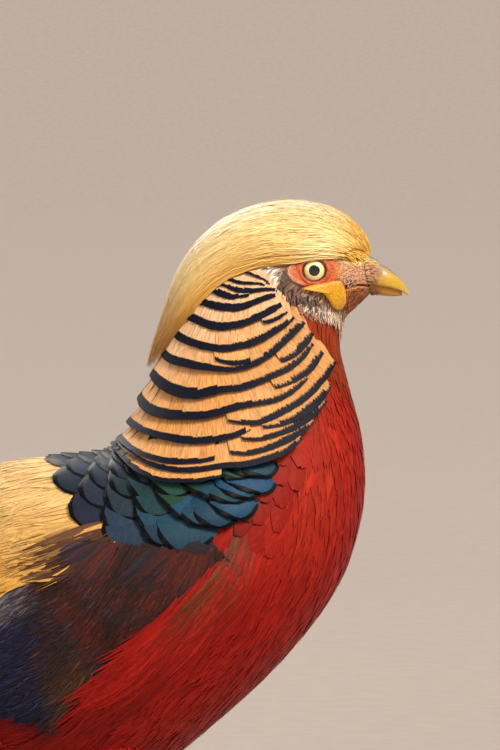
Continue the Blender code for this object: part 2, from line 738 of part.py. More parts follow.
def build_wing(model, side, name, draw):
    """A folded wing: the arm under its coverts, and the flight feathers behind in tiers."""
    t = np.linspace(*WING_CORE, 9)
    q = np.linspace(0.04, 0.96, 6)
    phi = np.radians(wing_phi(t[:, None], q)) * side
    front = np.clip((t[-1] - t) / 1.3, 0, 1)[:, None]
    rear = np.clip((t - t[0]) / 2.0, 0, 1)[:, None]
    high = (0.8 + 3.2 * np.sqrt(front * rear + 0.001) * np.sin(q * math.pi)) * MM
    grid = np.broadcast_to(t[:, None], phi.shape)
    top = lifted(WING_FORM, grid, phi, WING_GAP + high)
    bottom = lifted(WING_FORM, grid, phi, np.full(phi.shape, WING_GAP))
    wing = strip("wing_" + name, top, bottom, "brown", model)
    feathers = new_pieces("wing_feathers")

    def feather(start, end, q_start, q_end, width, lifts, outline, colour):
        tile(
            WING_FORM, (start, side * wing_phi(start, q_start)), (end, side * wing_phi(end, q_end)),
            width * draw.uniform(0.95, 1.05), lifts, outline, colour, feathers,
        )

    for start, end, lifts in WING_COVERTS:
        for k in range(4):
            q_here = 0.15 + 0.225 * k
            feather(start, end, q_here, q_here, 11.5 * MM, lifts, ROUND_TIP, "brown")
    for k in range(5):
        q_here = 0.12 + 0.185 * k
        feather(
            3.6, 1.4 - 0.17 * k, q_here, q_here, 8.6 * MM,
            (1.0 * MM, 1.9 * MM, 2.2 * MM, 2.4 * MM, 2.6 * MM), FLIGHT, "blue",
        )
    for k in range(3):
        feather(
            2.9, 0.02 + 0.3 * k, 0.52 + 0.16 * k, 0.56 + 0.14 * k, 6.0 * MM,
            (0.9 * MM, 0.75 * MM, 0.7 * MM, 0.7 * MM, 0.7 * MM), FLIGHT, "brown",
        )
    return fused(wing, feathers)


def tube_rings(path, radii, around, squash=1.0, floor=None, side=None):
    """Rings of a tapered tube along a path, across its direction, with squash across the side.
    A level path needs no side. floor flattens what would be lower."""
    path = np.array(path, float)
    along = np.gradient(path, axis=0)
    along /= np.linalg.norm(along, axis=1, keepdims=True)
    side = np.cross(along, (0.0, 0.0, 1.0)) if side is None else np.tile(side, (len(path), 1))
    side = side - (side * along).sum(1, keepdims=True) * along
    side /= np.linalg.norm(side, axis=1, keepdims=True)
    up = np.cross(side, along)
    turn = 2 * math.pi * (np.arange(around) + 0.5) / around - math.pi / 2
    rings = []
    for p, s, u, r in zip(path, side, up, radii):
        ring = p + (s * np.cos(turn)[:, None] * squash + u * np.sin(turn)[:, None]) * r
        if floor is not None:
            ring[:, 2] = np.maximum(ring[:, 2], floor)
        rings.append(ring)
    return rings


THIGH_PATH = ((10, 152), (2, 130), (-12, 111), (-24, 98), (-30, 92))
THIGH_RADII = (26, 21, 14, 8.5, 6.2)
THIGH_OUT = 2.0 * MM
SHANK_PATH = (
    (-30.3, 91.7), (-33.8, 88.2), (-36.8, 83), (-36.6, 77), (-34, 66), (-30.5, 48),
    (-27, 28), (-24.6, 13), (-24, 6.5),
)
SHANK_RADII = (6.1, 6.1, 5.8, 4.7, 3.6, 3.2, 3.2, 3.9, 4.4)
SPUR_PATH = ((-28.5, 33), (-32.5, 33.2), (-36.5, 34.6), (-39.5, 36.8))
SPUR_RADII = (2.2, 1.9, 1.2, 0.4)
# Toes: name, heading from straight ahead in degrees (outwards is positive), length, root radius.
TOES = (("inner", -27, 33, 3.2), ("middle", 2, 45, 3.5), ("outer", 31, 36, 3.1), ("hind", 164, 14, 2.6))


def toe_line(side, heading, length, radius, arch):
    """A toe's centre line, radii and direction, from the foot's middle out to the floor."""
    turn = math.radians(heading) * side
    ahead = np.array([math.cos(turn), math.sin(turn), 0.0])
    root = np.array([FOOT_X, side * FOOT_Y, 0.0])
    share = np.linspace(0, 1, 6)
    knuckle = 1 + 0.10 * np.cos(np.arange(6) * math.pi)
    thick = radius * np.linspace(1.0, 0.66, 6) * knuckle * MM
    height = thick * TOE_HEIGHT + arch * MM * (1 - share) ** 2
    path = root + ahead * (length * share * MM)[:, None] + np.array([0, 0, 1.0]) * height[:, None]
    return path, thick, ahead


def build_leg(model, side, name, trunk_grown):
    """A feathered thigh, and the bare shank with its spur, three front toes and a hind toe."""
    count = len(THIGH_PATH)
    outwards = [FOOT_Y + THIGH_OUT * (1 - k / (count - 1)) for k in range(count)]
    path = [(x * MM, side * y, z * MM) for (x, z), y in zip(THIGH_PATH, outwards)]
    radii = [r * MM for r in THIGH_RADII]
    thigh_rings = tube_rings(path, radii, 14, 0.8, side=ACROSS)
    thigh = ring_loft("thigh_" + name, thigh_rings, "scarlet", model)
    grown = bpy.data.objects.new("trunk_cutter", trunk_grown.copy())
    model.objects.link(grown)
    cut(thigh, grown)
    path = [(x * MM, side * FOOT_Y, z * MM) for x, z in SHANK_PATH]
    radii = [r * MM for r in SHANK_RADII]
    foot = ring_loft("foot_" + name, tube_rings(path, radii, 10, 0.82, 0.0, ACROSS), "leg", model)
    toes = new_pieces("toes")
    for toe, heading, length, radius in TOES:
        path, thick, ahead = toe_line(side, heading, length, radius, 1.2)
        ring_loft("toe", tube_rings(path, thick, 7, 1.0, 0.0), "leg", toes)
        build_claw(model, f"claw_{toe}_{name}", path[-1], ahead, thick[-1])
    path = [(x * MM, side * (FOOT_Y - 1.0 * MM), z * MM) for x, z in SPUR_PATH]
    radii = [r * MM for r in SPUR_RADII]
    ring_loft("spur", tube_rings(path, radii, 6, side=ACROSS), "leg", toes)
    fused(foot, toes)


def build_claw(model, name, end, ahead, radius):
    """A curved claw, GAP in front of its toe."""
    share = np.linspace(0, 1, 4)
    down = np.array([0, 0, 1.0])
    length = 8.5 * MM
    path = end + ahead * (GAP + length * share[:, None]) - down * (radius * 0.35 * share**2)[:, None]
    thick = radius * np.array([0.82, 0.66, 0.4, 0.14])
    ring_loft(name, tube_rings(path, thick, 6, 0.8, 0.05 * MM), "claw", model)


def centre_on_origin(model):
    """Moves the bird along X so that its footprint's middle is over the origin."""
    ends = [v.co.x for thing in model.objects for v in thing.data.vertices]
    shift = -(min(ends) + max(ends)) / 2
    for thing in model.objects:
        for vertex in thing.data.vertices:
            vertex.co.x += shift


def main():
    clear_scene()
    model = bpy.data.collections.new("golden_pheasant")
    bpy.context.scene.collection.children.link(model)
    draw = np.random.default_rng(FEATHER_SEED)
    build_neck(model, draw)
    build_torso(model, draw)
    build_rump(model)
    build_tail(model)
    build_head(model)
    build_crest(model, draw)
    build_bill(model)
    build_lappets(model)
    grown = trunk_piece("grown", RUMP_END, 9.0, 20, "scarlet", model, GAP + 0.5 * MM)
    for side, name in ((-1, "right"), (1, "left")):
        build_wing(model, side, name, np.random.default_rng(FEATHER_SEED))
        build_leg(model, side, name, grown.data)
    bpy.data.objects.remove(grown, do_unlink=True)
    centre_on_origin(model)
    for thing in model.objects:
        thing.data.shade_smooth()
        thing.data.set_sharp_from_angle(angle=math.radians(40))


main()
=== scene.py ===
"""Golden pheasant cock: skin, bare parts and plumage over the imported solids.

Lengths in this script are millimetres and angles are degrees, in the bird's own frame, which
has +X ahead and +Y to its left. The function placed() turns them into the frame's metres. The
trunk is one form: a place on it is t, the number of a section from the tail stump at 0 to the
bill's root at 21, and the angle round the section from the back, positive on the left.
"""

import math

import bpy
import numpy as np
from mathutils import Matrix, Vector


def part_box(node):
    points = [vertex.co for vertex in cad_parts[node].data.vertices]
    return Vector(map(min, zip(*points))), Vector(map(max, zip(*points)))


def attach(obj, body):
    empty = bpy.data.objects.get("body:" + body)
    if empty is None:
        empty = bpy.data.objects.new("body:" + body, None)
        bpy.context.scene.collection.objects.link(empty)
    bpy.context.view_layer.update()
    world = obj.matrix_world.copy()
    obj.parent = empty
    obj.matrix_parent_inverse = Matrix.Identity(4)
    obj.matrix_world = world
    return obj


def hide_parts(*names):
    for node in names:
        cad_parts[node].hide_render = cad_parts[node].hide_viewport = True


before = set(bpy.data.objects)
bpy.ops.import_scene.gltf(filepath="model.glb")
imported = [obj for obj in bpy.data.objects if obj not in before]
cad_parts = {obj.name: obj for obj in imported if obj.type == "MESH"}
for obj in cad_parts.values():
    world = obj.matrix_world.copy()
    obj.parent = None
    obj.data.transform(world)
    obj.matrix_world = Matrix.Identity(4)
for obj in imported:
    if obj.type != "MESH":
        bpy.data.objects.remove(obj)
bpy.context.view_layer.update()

MM = 0.001
SIDES = ((-1, "right"), (1, "left"))
BILL_TIP_X = 125.4
SHIFT_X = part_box("bill_upper")[1].x / MM - BILL_TIP_X

# Sections of the trunk: back x, back z, belly x, belly z and half width.
TRUNK = np.array(
    [
        (-150.5, 182, -152.5, 160, 13),
        (-132, 197, -130, 141, 26),
        (-102, 214, -103, 117, 41),
        (-72, 231, -64, 102.5, 51),
        (-44, 242, -23, 99.5, 55),
        (-22, 245.5, 13, 111, 56.5),
        (-6, 247, 45, 135.5, 55),
        (3, 249.5, 74, 163, 52.5),
        (8, 254.5, 95, 191, 49),
        (12, 262, 104.5, 216, 44.5),
        (15.5, 270, 107.3, 238, 39.5),
        (19.5, 279.5, 105.3, 258, 34.5),
        (24, 290, 100.5, 276, 30),
        (29.5, 301.5, 97, 291, 26),
        (35.5, 313.5, 97, 299.5, 22.5),
        (43.5, 325, 97.5, 303, 20),
        (54.5, 335, 98, 305, 18),
        (69, 341.5, 99.5, 307, 16.5),
        (84, 343, 102.5, 309.5, 15.2),
        (96, 339.5, 106, 312.5, 12.6),
        (104, 335, 108.6, 315, 9.6),
        (109.2, 331, 110, 317, 6.8),
    ]
)
WING_FORM = np.array(
    [
        (-166, 184, -162, 152, 25),
        (-132, 201, -130, 138, 37),
        (-102, 217, -101, 119, 46),
        (-72, 232, -64, 103, 52.5),
    ]
    + [tuple(row) for row in TRUNK[4:10]]
)
HEAD_T, LAST_T = 14.0, 21.0
SKIN_BODY_RINGS, SKIN_HEAD_RINGS, SKIN_AROUND = 96, 190, 240

EYE_X, EYE_Z, EYE_RADIUS, EYE_DEPTH = 85.6, 325.7, 6.5, 5.6
EYE_OPEN_X, EYE_OPEN_Z = 5.0, 4.6
LID_RADIUS, LID_THICK = 4.62, 0.42
MOUTH_LINE = ((99.4, 318.0), (104.2, 319.2), (110.0, 318.85), (112.0, 318.7))

# Colours, linear.
GOLD = (0.84, 0.46, 0.055)
PALE_GOLD = (0.97, 0.74, 0.33)
DEEP_GOLD = (0.62, 0.28, 0.030)
HIGHLIGHT_CREAM = (1.0, 0.81, 0.54)
BACK_GOLD = (0.56, 0.27, 0.030)
PALE_BACK = (0.74, 0.48, 0.19)
BROW_GOLD = (0.86, 0.46, 0.035)
ORANGE = (0.66, 0.275, 0.060)
PALE_ORANGE = (0.78, 0.48, 0.26)
BLUE_BLACK = (0.003, 0.0035, 0.011)
SCALE_BLACK = (0.0012, 0.0012, 0.0016)
MANTLE_BLUE = (0.016, 0.023, 0.038)
MANTLE_TEAL = (0.013, 0.068, 0.130)
MANTLE_GREEN = (0.017, 0.060, 0.042)
SCARLET = (0.35, 0.008, 0.005)
BRIGHT_RED = (0.43, 0.030, 0.012)
DARK_RED = (0.19, 0.005, 0.004)
RUSTY_RED = (0.27, 0.036, 0.008)
CHESTNUT = (0.11, 0.030, 0.012)
WING_BROWN = (0.026, 0.010, 0.008)
WING_RED = (0.072, 0.014, 0.009)
WING_GREY = (0.024, 0.022, 0.032)
WING_OLIVE = (0.060, 0.036, 0.020)
NAVY = (0.012, 0.013, 0.036)


def placed(points):
    """Points of the bird's own frame, in millimetres, as metres in the shared frame."""
    return (np.asarray(points, float) + (SHIFT_X, 0.0, 0.0)) * MM


def columns(*parts):
    """Numbers side by side in a last axis, such as (x, y, z) or (t, angle)."""
    return np.stack(np.broadcast_arrays(*parts), axis=-1)


def unit(vectors):
    """Vectors scaled to a length of one."""
    return vectors / np.maximum(np.linalg.norm(vectors, axis=-1, keepdims=True), 1e-9)


def rows_at(rows, t):
    """Values of a table between its rows, on a smooth Catmull-Rom line through them."""
    t = np.clip(np.asarray(t, float), 0, len(rows) - 1)
    i = np.minimum(t.astype(int), len(rows) - 2)
    f = (t - i)[..., None]
    before, here = rows[np.maximum(i - 1, 0)], rows[i]
    after, beyond = rows[i + 1], rows[np.minimum(i + 2, len(rows) - 1)]
    return 0.5 * (
        2 * here
        + (after - before) * f
        + (2 * before - 5 * here + 4 * after - beyond) * f**2
        + (3 * here - before - 3 * after + beyond) * f**3
    )


def traced(rows, count):
    """A table's values at even steps from its first row to its last."""
    return rows_at(np.array(rows, float), np.linspace(0, len(rows) - 1, count))


def on_form(form, t, angle):
    """Points on a form such as the trunk, from the numbers of sections and the angles on them."""
    t, angle = np.broadcast_arrays(np.asarray(t, float), np.radians(np.asarray(angle, float)))
    row = rows_at(form, t)
    down = (1 - np.cos(angle)) / 2
    x = row[..., 0] + (row[..., 2] - row[..., 0]) * down
    z = row[..., 1] + (row[..., 3] - row[..., 1]) * down
    return columns(x, row[..., 4] * np.sin(angle), z)


def form_out(form, t, angle):
    """Unit vectors pointing out of the form."""
    t, angle = np.broadcast_arrays(np.asarray(t, float), np.asarray(angle, float))
    along = on_form(form, t + 0.02, angle) - on_form(form, t - 0.02, angle)
    around = on_form(form, t, angle + 1.0) - on_form(form, t, angle - 1.0)
    out = np.cross(along, around)
    middle = (on_form(form, t, 0 * angle) + on_form(form, t, 0 * angle + 180)) / 2
    out *= np.sign(((on_form(form, t, angle) - middle) * out).sum(-1, keepdims=True))
    return unit(out)


def lifted(form, t, angle, lift):
    """Points at a height off a form."""
    return on_form(form, t, angle) + form_out(form, t, angle) * np.asarray(lift)[..., None]


def listed(table, x):
    """The value at x between a table's rows of (x, value)."""
    table = np.array(table, float)
    return np.interp(x, table[:, 0], table[:, 1])


def smooth(low, high, x):
    """0 at low and 1 at high, with a smooth step between them."""
    share = np.clip((np.asarray(x, float) - low) / (high - low), 0, 1)
    return share * share * (3 - 2 * share)


def blended(first, second, share):
    """Colours from first to second, by a share for each."""
    share = np.asarray(share)[..., None]
    return np.asarray(first) * (1 - share) + np.asarray(second) * share


def layered(colour, *coats):
    """A colour with others laid over it in turn, each given with its share."""
    for over, share in coats:
        colour = blended(colour, over, share)
    return colour


def varied(colour, draw, count, dark=0.12, warm=0.04):
    """One colour for each feather, a little lighter or darker and warmer or cooler than given."""
    light = 1 + draw.normal(0, dark, (count, 1))
    shade = np.broadcast_to(colour, (count, 3)) * np.clip(light, 0.4, 1.6)
    return np.clip(shade * (1 + draw.normal(0, warm, (count, 3))), 0, 1)


def washed(shade, colour, share, draw, dark=0.12, warm=0.04):
    """Feathers' colours turned by a share towards another colour, which varies too."""
    return blended(shade, varied(colour, draw, len(shade), dark, warm), share)


def unwrap(t, angle):
    """The unwrap that all the skin and coat pieces share: along the trunk, with the head
    stretched to twice its share, and round it."""
    steps = np.linspace(0, LAST_T, 200)
    middle = on_form(TRUNK, steps, 90)
    run = np.linalg.norm(np.diff(middle, axis=0), axis=1) * np.where(steps[1:] > 14.5, 2.0, 1.0)
    length = np.concatenate([[0], np.cumsum(run)]) / run.sum()
    u = np.interp(t, steps, length)
    v = (np.asarray(angle, float) + 180) / 360
    return columns(0.01 + 0.98 * u, 0.01 + 0.98 * v)


# Materials

BARB_STRETCH = 0.1  # how fast the noise changes along a barb, so that it draws out into streaks
FEATHER_SHIFT = 61.0  # how far apart in the noise the feathers lie
VANE_RELIEF = 0.0004  # metres


def new_material(name):
    """A material, its node tree and its shader."""
    made = bpy.data.materials.new(name)
    made.use_nodes = True
    tree = made.node_tree
    return made, tree, tree.nodes["Principled BSDF"]


def feed(tree, made, inputs):
    """Sets a node's sockets to constants, or links them to other nodes."""
    for key, value in inputs.items():
        if isinstance(value, bpy.types.NodeSocket):
            tree.links.new(value, made.inputs[key])
        else:
            made.inputs[key].default_value = value


def node(tree, kind, inputs=None, **settings):
    """A new shader node with its settings and inputs."""
    made = tree.nodes.new("ShaderNode" + kind)
    for key, value in settings.items():
        setattr(made, key, value)
    feed(tree, made, inputs or {})
    return made


def math_node(tree, operation, *values):
    """The output of an arithmetic node."""
    return node(tree, "Math", dict(enumerate(values)), operation=operation).outputs[0]


def ramp_node(tree, *values):
    """A value turned smoothly from low and high to 0 and 1, or to two other numbers."""
    inputs = dict(enumerate(values))
    return node(tree, "MapRange", inputs, interpolation_type="SMOOTHSTEP").outputs[0]


def mix_node(tree, share, first, second, blend_type="MIX"):
    """A mix of two colours, each a constant or a link."""
    first, second = ((*c, 1.0) if isinstance(c, tuple) else c for c in (first, second))
    inputs = {0: share, 6: first, 7: second}
    return node(tree, "Mix", inputs, data_type="RGBA", blend_type=blend_type).outputs[2]


def shaded(tree, colour, shade):
    """A colour made lighter or darker by a number or a link."""
    grey = node(tree, "CombineColor", dict.fromkeys(range(3), shade))
    return mix_node(tree, 1.0, colour, grey.outputs[0], "MULTIPLY")


def vector_node(tree, *parts):
    """A vector of up to three parts."""
    return node(tree, "CombineXYZ", dict(enumerate(parts))).outputs[0]


def noise_node(tree, vector, scale, detail=3.0, rough=0.6):
    """Fractal noise from 0 to 1."""
    inputs = {"Vector": vector, "Scale": scale, "Detail": detail, "Roughness": rough}
    return node(tree, "TexNoise", inputs).outputs["Fac"]


def bump_node(tree, height, strength, distance, shader):
    """Relief on a shader from a height."""
    inputs = {"Strength": strength, "Distance": distance, "Height": height}
    feed(tree, shader, {"Normal": node(tree, "Bump", inputs).outputs[0]})


def attribute(tree, name, output):
    """A value that the piece's points carry."""
    return node(tree, "Attribute", attribute_name=name).outputs[output]


def lie_parts(tree):
    """A piece's lie: across its vanes, along them and each one's own number from 0 to 1."""
    return node(tree, "SeparateXYZ", {0: attribute(tree, "lie", "Vector")}).outputs


def object_place(tree):
    """The place in the piece's own coordinates."""
    return node(tree, "TexCoord").outputs["Object"]


def plumage(
    name, roughness=0.45, barb_angle=40.0, barb=1.1, contrast=0.35, mark=BLUE_BLACK, ragged=0.9,
    shaft=0.0, shaft_width=0.25, sheen=0.1, strength=0.35, specular=0.22,
):
    """Feather material. The piece's tint is streaked along the barbs, which leave the shaft at
    barb_angle, and turns to the mark's colour where the piece's mark value is over zero."""
    made, tree, shader = new_material(name)
    across, along, chance = lie_parts(tree)
    wide = math_node(tree, "ABSOLUTE", across)
    c, s = math.cos(math.radians(barb_angle)), math.sin(math.radians(barb_angle))
    beside = math_node(tree, "MULTIPLY", wide, c * barb)
    beside = math_node(tree, "MULTIPLY_ADD", along, -s * barb, beside)
    onward = math_node(tree, "MULTIPLY", wide, s * BARB_STRETCH)
    onward = math_node(tree, "MULTIPLY_ADD", along, c * BARB_STRETCH, onward)
    half_side = math_node(tree, "SIGN", across)
    own = math_node(tree, "MULTIPLY_ADD", chance, FEATHER_SHIFT, half_side)
    spot = vector_node(tree, beside, onward, own)
    streak = noise_node(tree, spot, 1.6, 4.0, 0.7)
    fine = noise_node(tree, spot, 5.0, 2.0, 0.6)
    shade = ramp_node(tree, streak, 0.25, 0.75, 1 - contrast, 1 + contrast * 0.6)
    colour = shaded(tree, attribute(tree, "tint", "Color"), shade)
    edge = math_node(tree, "SUBTRACT", streak, 0.5)
    edge = math_node(tree, "MULTIPLY_ADD", edge, ragged * 2, attribute(tree, "mark", "Fac"))
    colour = mix_node(tree, ramp_node(tree, edge, -0.12, 0.12), colour, mark)
    if shaft:
        line = ramp_node(tree, wide, shaft_width, 0.0)
        colour = mix_node(tree, line, colour, shaded(tree, colour, 1 + shaft))
    feed(tree, shader, {
        "Base Color": colour, "Roughness": roughness, "Specular IOR Level": specular,
        "Sheen Weight": sheen, "Sheen Roughness": 0.4,
    })
    bump_node(tree, math_node(tree, "MULTIPLY_ADD", fine, 0.5, streak), strength, VANE_RELIEF, shader)
    return made


def bare_skin(name, roughness, scale, depth, contrast, coat=0.1, subsurface=0.0):
    """Bare or downy skin: the piece's tint with papillae and small folds."""
    made, tree, shader = new_material(name)
    place = object_place(tree)
    inputs = {"Vector": place, "Scale": scale, "Smoothness": 0.6}
    cells = node(tree, "TexVoronoi", inputs, feature="SMOOTH_F1").outputs["Distance"]
    grain = noise_node(tree, place, scale * 0.6, 4.0)
    shade = ramp_node(tree, cells, 0.1, 0.7, 1 + contrast * 0.4, 1 - contrast)
    feed(tree, shader, {
        "Base Color": shaded(tree, attribute(tree, "tint", "Color"), shade),
        "Roughness": roughness, "Coat Weight": coat, "Coat Roughness": 0.35,
    })
    if subsurface:
        feed(tree, shader, {
            "Subsurface Weight": subsurface, "Subsurface Radius": (1.0, 0.35, 0.2),
            "Subsurface Scale": 0.0012,
        })
    bump_node(tree, math_node(tree, "SUBTRACT", grain, cells), 0.8, depth, shader)
    return made


def horn(name, roughness, coat):
    """Horn of bill and claws: the piece's tint with fine growth streaks."""
    made, tree, shader = new_material(name)
    stretch = node(tree, "Mapping", {"Vector": object_place(tree), "Scale": (0.35, 1.0, 1.0)})
    grain = noise_node(tree, stretch.outputs[0], 900.0, 5.0, 0.65)
    shade = ramp_node(tree, grain, 0.3, 0.7, 0.88, 1.06)
    feed(tree, shader, {
        "Base Color": shaded(tree, attribute(tree, "tint", "Color"), shade),
        "Roughness": roughness, "Coat Weight": coat, "Coat Roughness": 0.15,
    })
    bump_node(tree, grain, 0.25, 0.0002, shader)
    return made


# Meshes

def new_piece(name, points, loops, starts, tint, look, nodes=(), lie=None, mark=None, uv=None):
    """A piece of the model from points in the bird's frame and faces as flat index lists."""
    mesh = bpy.data.meshes.new(name)
    mesh.vertices.add(len(points))
    mesh.vertices.foreach_set("co", placed(points).astype(np.float32).ravel())
    mesh.loops.add(len(loops))
    mesh.loops.foreach_set("vertex_index", loops.astype(np.int32))
    mesh.polygons.add(len(starts))
    mesh.polygons.foreach_set("loop_start", starts.astype(np.int32))
    mesh.update(calc_edges=True)
    mesh.shade_smooth()
    colours = np.ones((len(points), 4), np.float32)
    colours[:, :3] = tint
    mesh.color_attributes.new("tint", "FLOAT_COLOR", "POINT").data.foreach_set("color", colours.ravel())
    if lie is not None:
        layer = mesh.attributes.new("lie", "FLOAT_VECTOR", "POINT")
        layer.data.foreach_set("vector", lie.astype(np.float32).ravel())
        layer = mesh.attributes.new("mark", "FLOAT", "POINT")
        value = np.full(len(points), -9.0) if mark is None else mark
        layer.data.foreach_set("value", value.astype(np.float32).ravel())
    if uv is not None:
        layer = mesh.uv_layers.new(name="OFBake")
        layer.data.foreach_set("uv", uv[loops].astype(np.float32).ravel())
    mesh.materials.append(look)
    made = bpy.data.objects.new(name, mesh)
    bpy.context.scene.collection.objects.link(made)
    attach(made, "root")
    if nodes:
        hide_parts(*nodes)
    return made


def ring_loops(count, rings, around):
    """Faces of count closed tubes of rings, each with a cap at both ends."""
    base = (np.arange(count) * rings * around)[:, None]
    low = (np.arange(rings - 1) * around)[None, :, None] + base[..., None]
    here = np.arange(around)
    after = (here + 1) % around
    quads = columns(low + here, low + after, low + around + after, low + around + here).reshape(-1, 4)
    caps = np.concatenate([base + here[::-1], base + (rings - 1) * around + here])
    loops = np.concatenate([quads.ravel(), caps.ravel()])
    starts = np.concatenate([np.arange(len(quads)) * 4, len(quads) * 4 + np.arange(len(caps)) * around])
    return loops, starts


# How many feathers of each loose kind are drawn at random.
BROW_COUNT, BRISTLE_COUNT, FRINGE_COUNT, UNDERTAIL_COUNT = 1500, 1100, 900, 420
WING_EDGE_COUNT, COVERT_DOWN_COUNT, THIGH_COUNT, SPEAR_COUNT = 2400, 3500, 1300, 18

# Outlines: half widths at even steps from a feather's root to its tip, as shares of its widest.
LANCET = (0.6, 0.95, 1.0, 0.8, 0.45, 0.06)
PLUME = (0.6, 1.0, 1.0, 0.8, 0.5, 0.06)
TUFT = (0.6, 1.0, 0.9, 0.6, 0.12)
CREST_PLUME = (0.7, 1.0, 1.0, 0.85, 0.5, 0.06)
CAPE_SQUARE = (0.6, 0.9, 1.0, 1.0, 1.0)
MANTLE_SHAPE = (0.4, 0.75, 0.95, 1.0, 1.0, 0.97, 0.88, 0.70, 0.22)
SHOULDER_SHAPE = (0.4, 0.8, 1.0, 1.0, 0.9, 0.7, 0.3)
COVERT_SHAPE = (0.5, 0.85, 1.0, 1.0, 0.9, 0.72, 0.35)
FLIGHT_SHAPE = (0.6, 0.9, 1.0, 1.0, 0.95, 0.8, 0.4)
SPEAR_SHAPE = (0.6, 0.9, 1.0, 0.95, 0.8, 0.55, 0.1)

# Cross sections of feathers: place across the vane, from -1 to 1, and height in thicknesses.
STRAND = np.array([(-1, 0), (1, 0), (0, 1)])[::-1]
LEAF = np.array([(-1, 0), (0, 0.7), (1, 0), (0, -0.7)])
BLADE = np.array([(-1, 0), (-0.5, 0.7), (0, 1), (0.5, 0.7), (1, 0), (0, -0.3)])
BROAD = np.array(
    [
        (-1, 0), (-0.8, 0.5), (-0.45, 0.85), (0, 1.1), (0.45, 0.85), (0.8, 0.5), (1, 0),
        (0.5, -0.2), (-0.5, -0.2),
    ]
)


def vanes(
    name, middle, up, half, section, tint, root, look, nodes=(), thick=0.25, camber=0.15,
    ragged=0.0, mark=None, seed=1, patch=0.003, tips=None,
):
    """Closed feathers along centre lines. middle and up are (feather, ring) vectors, half is the
    half width, tint is a colour for each feather or each ring, and root is each (t, angle). tips
    has the places of the end ring's points, for feathers whose square ends share a line."""
    count, rings = middle.shape[:2]
    draw = np.random.default_rng(seed)
    along = unit(np.gradient(middle, axis=1))
    side = unit(np.cross(up, along))
    out = np.cross(along, side)
    across = section[:, 0]
    wide = half[:, :, None] * across
    steps = np.linalg.norm(np.diff(middle, axis=1), axis=2)
    run = np.concatenate([np.zeros((count, 1)), np.cumsum(steps, axis=1)], axis=1)
    taper = np.clip(half / np.maximum(half.max(1, keepdims=True), 1e-6), 0.15, 1)[:, :, None]
    high = thick * section[:, 1] * taper - camber * half[:, :, None] * across**2
    points = middle[:, :, None] + side[:, :, None] * wide[..., None] + out[:, :, None] * high[..., None]
    length = np.broadcast_to(run[:, :, None], wide.shape).copy()
    if tips is not None:
        off = tips + out[:, -1:] * high[:, -1, :, None] - points[:, -1]
        fade = smooth(0.2, 0.9, run / run[:, -1:])
        points += off[:, None] * fade[:, :, None, None]
    if ragged:
        shift = draw.uniform(-ragged, ragged * 0.3, (count, len(section)))
        points[:, -1] += along[:, -1][:, None] * shift[..., None]
        length[:, -1] += shift
    tint = np.asarray(tint, float)
    while tint.ndim < 4:
        tint = tint[:, None] if tint.ndim == 2 else tint[:, :, None]
    tint = np.broadcast_to(tint, (*wide.shape, 3))
    chance = np.broadcast_to(draw.random(count)[:, None, None], wide.shape)
    lie = columns(wide, length, chance)
    marks = None
    if mark is not None:
        marks = np.broadcast_to(mark(length, wide, run[:, -1][:, None, None], half[:, :, None]), wide.shape)
        marks = marks.ravel()
    share = (run / np.maximum(run[:, -1:], 1e-6))[:, :, None]
    place = unwrap(root[:, 0], root[:, 1])[:, None, None]
    spread = columns(share - 0.5, across * 0.5) * patch
    loops, starts = ring_loops(count, rings, len(section))
    made = new_piece(
        name, points.reshape(-1, 3), loops, starts, tint.reshape(-1, 3), look, nodes,
        lie.reshape(-1, 3), marks, (place + spread).reshape(-1, 2),
    )
    sharpen(made.data, rings, across)
    return made


def sharpen(mesh, rings, across):
    """Sharp shading at the thin edges and ends of every feather in a mesh."""
    pairs = np.empty(len(mesh.edges) * 2, np.int32)
    mesh.edges.foreach_get("vertices", pairs)
    pairs = pairs.reshape(-1, 2)
    ring, column = pairs // len(across) % rings, pairs % len(across)
    same = column[:, 0] == column[:, 1]
    rim = same & (np.abs(across[column[:, 0]]) > 0.99)
    cap = ~same & (ring[:, 0] == ring[:, 1]) & ((ring[:, 0] == 0) | (ring[:, 0] == rings - 1))
    layer = mesh.attributes.new("sharp_edge", "BOOLEAN", "EDGE")
    layer.data.foreach_set("value", rim | cap)


def lay(form, start, end, share, lift, bow=0.0):
    """Centre lines on a form from start to end, each (t, angle), and the way out of the form."""
    t = start[:, :1] + (end[:, :1] - start[:, :1]) * share
    angle = start[:, 1:] + (end[:, 1:] - start[:, 1:]) * share
    angle = angle + np.asarray(bow).reshape(-1, 1) * np.sin(np.pi * share)
    out = form_out(form, t, angle)
    return on_form(form, t, angle) + out * np.asarray(lift)[..., None], out


def outline(shape, share):
    """Half width along a feather, from its values at even steps."""
    return np.interp(share, np.linspace(0, 1, len(shape)), shape)


def guide(inner, outer, q, share):
    """(t, angle) at place q between the first and last points of two guide lines, and at a share
    of the way from the inner line to the outer one."""
    inner, outer = np.array(inner, float), np.array(outer, float)
    low = rows_at(inner, q * (len(inner) - 1))
    high = rows_at(outer, q * (len(outer) - 1))
    return low + (high - low) * np.asarray(share)[..., None]


# Side view places on the face, given by pixels of the photograph.
PIXEL, PIXEL_X0, PIXEL_Z0 = 0.42, 110.0, 1045.0


def from_photo(px, py):
    """Side view (x, z) of a pixel."""
    return (px - PIXEL_X0) * PIXEL, (PIXEL_Z0 - py) * PIXEL


def blob(x, z, px, py, wide, high, turn=0.0):
    """Closeness to the middle of an ellipse of the side view: 0 there and 1 at its edge."""
    cx, cz = from_photo(px, py)
    c, s = math.cos(math.radians(turn)), math.sin(math.radians(turn))
    dx, dz = (x - cx) * c + (z - cz) * s, (z - cz) * c - (x - cx) * s
    return np.hypot(dx / (wide * PIXEL), dz / (high * PIXEL))


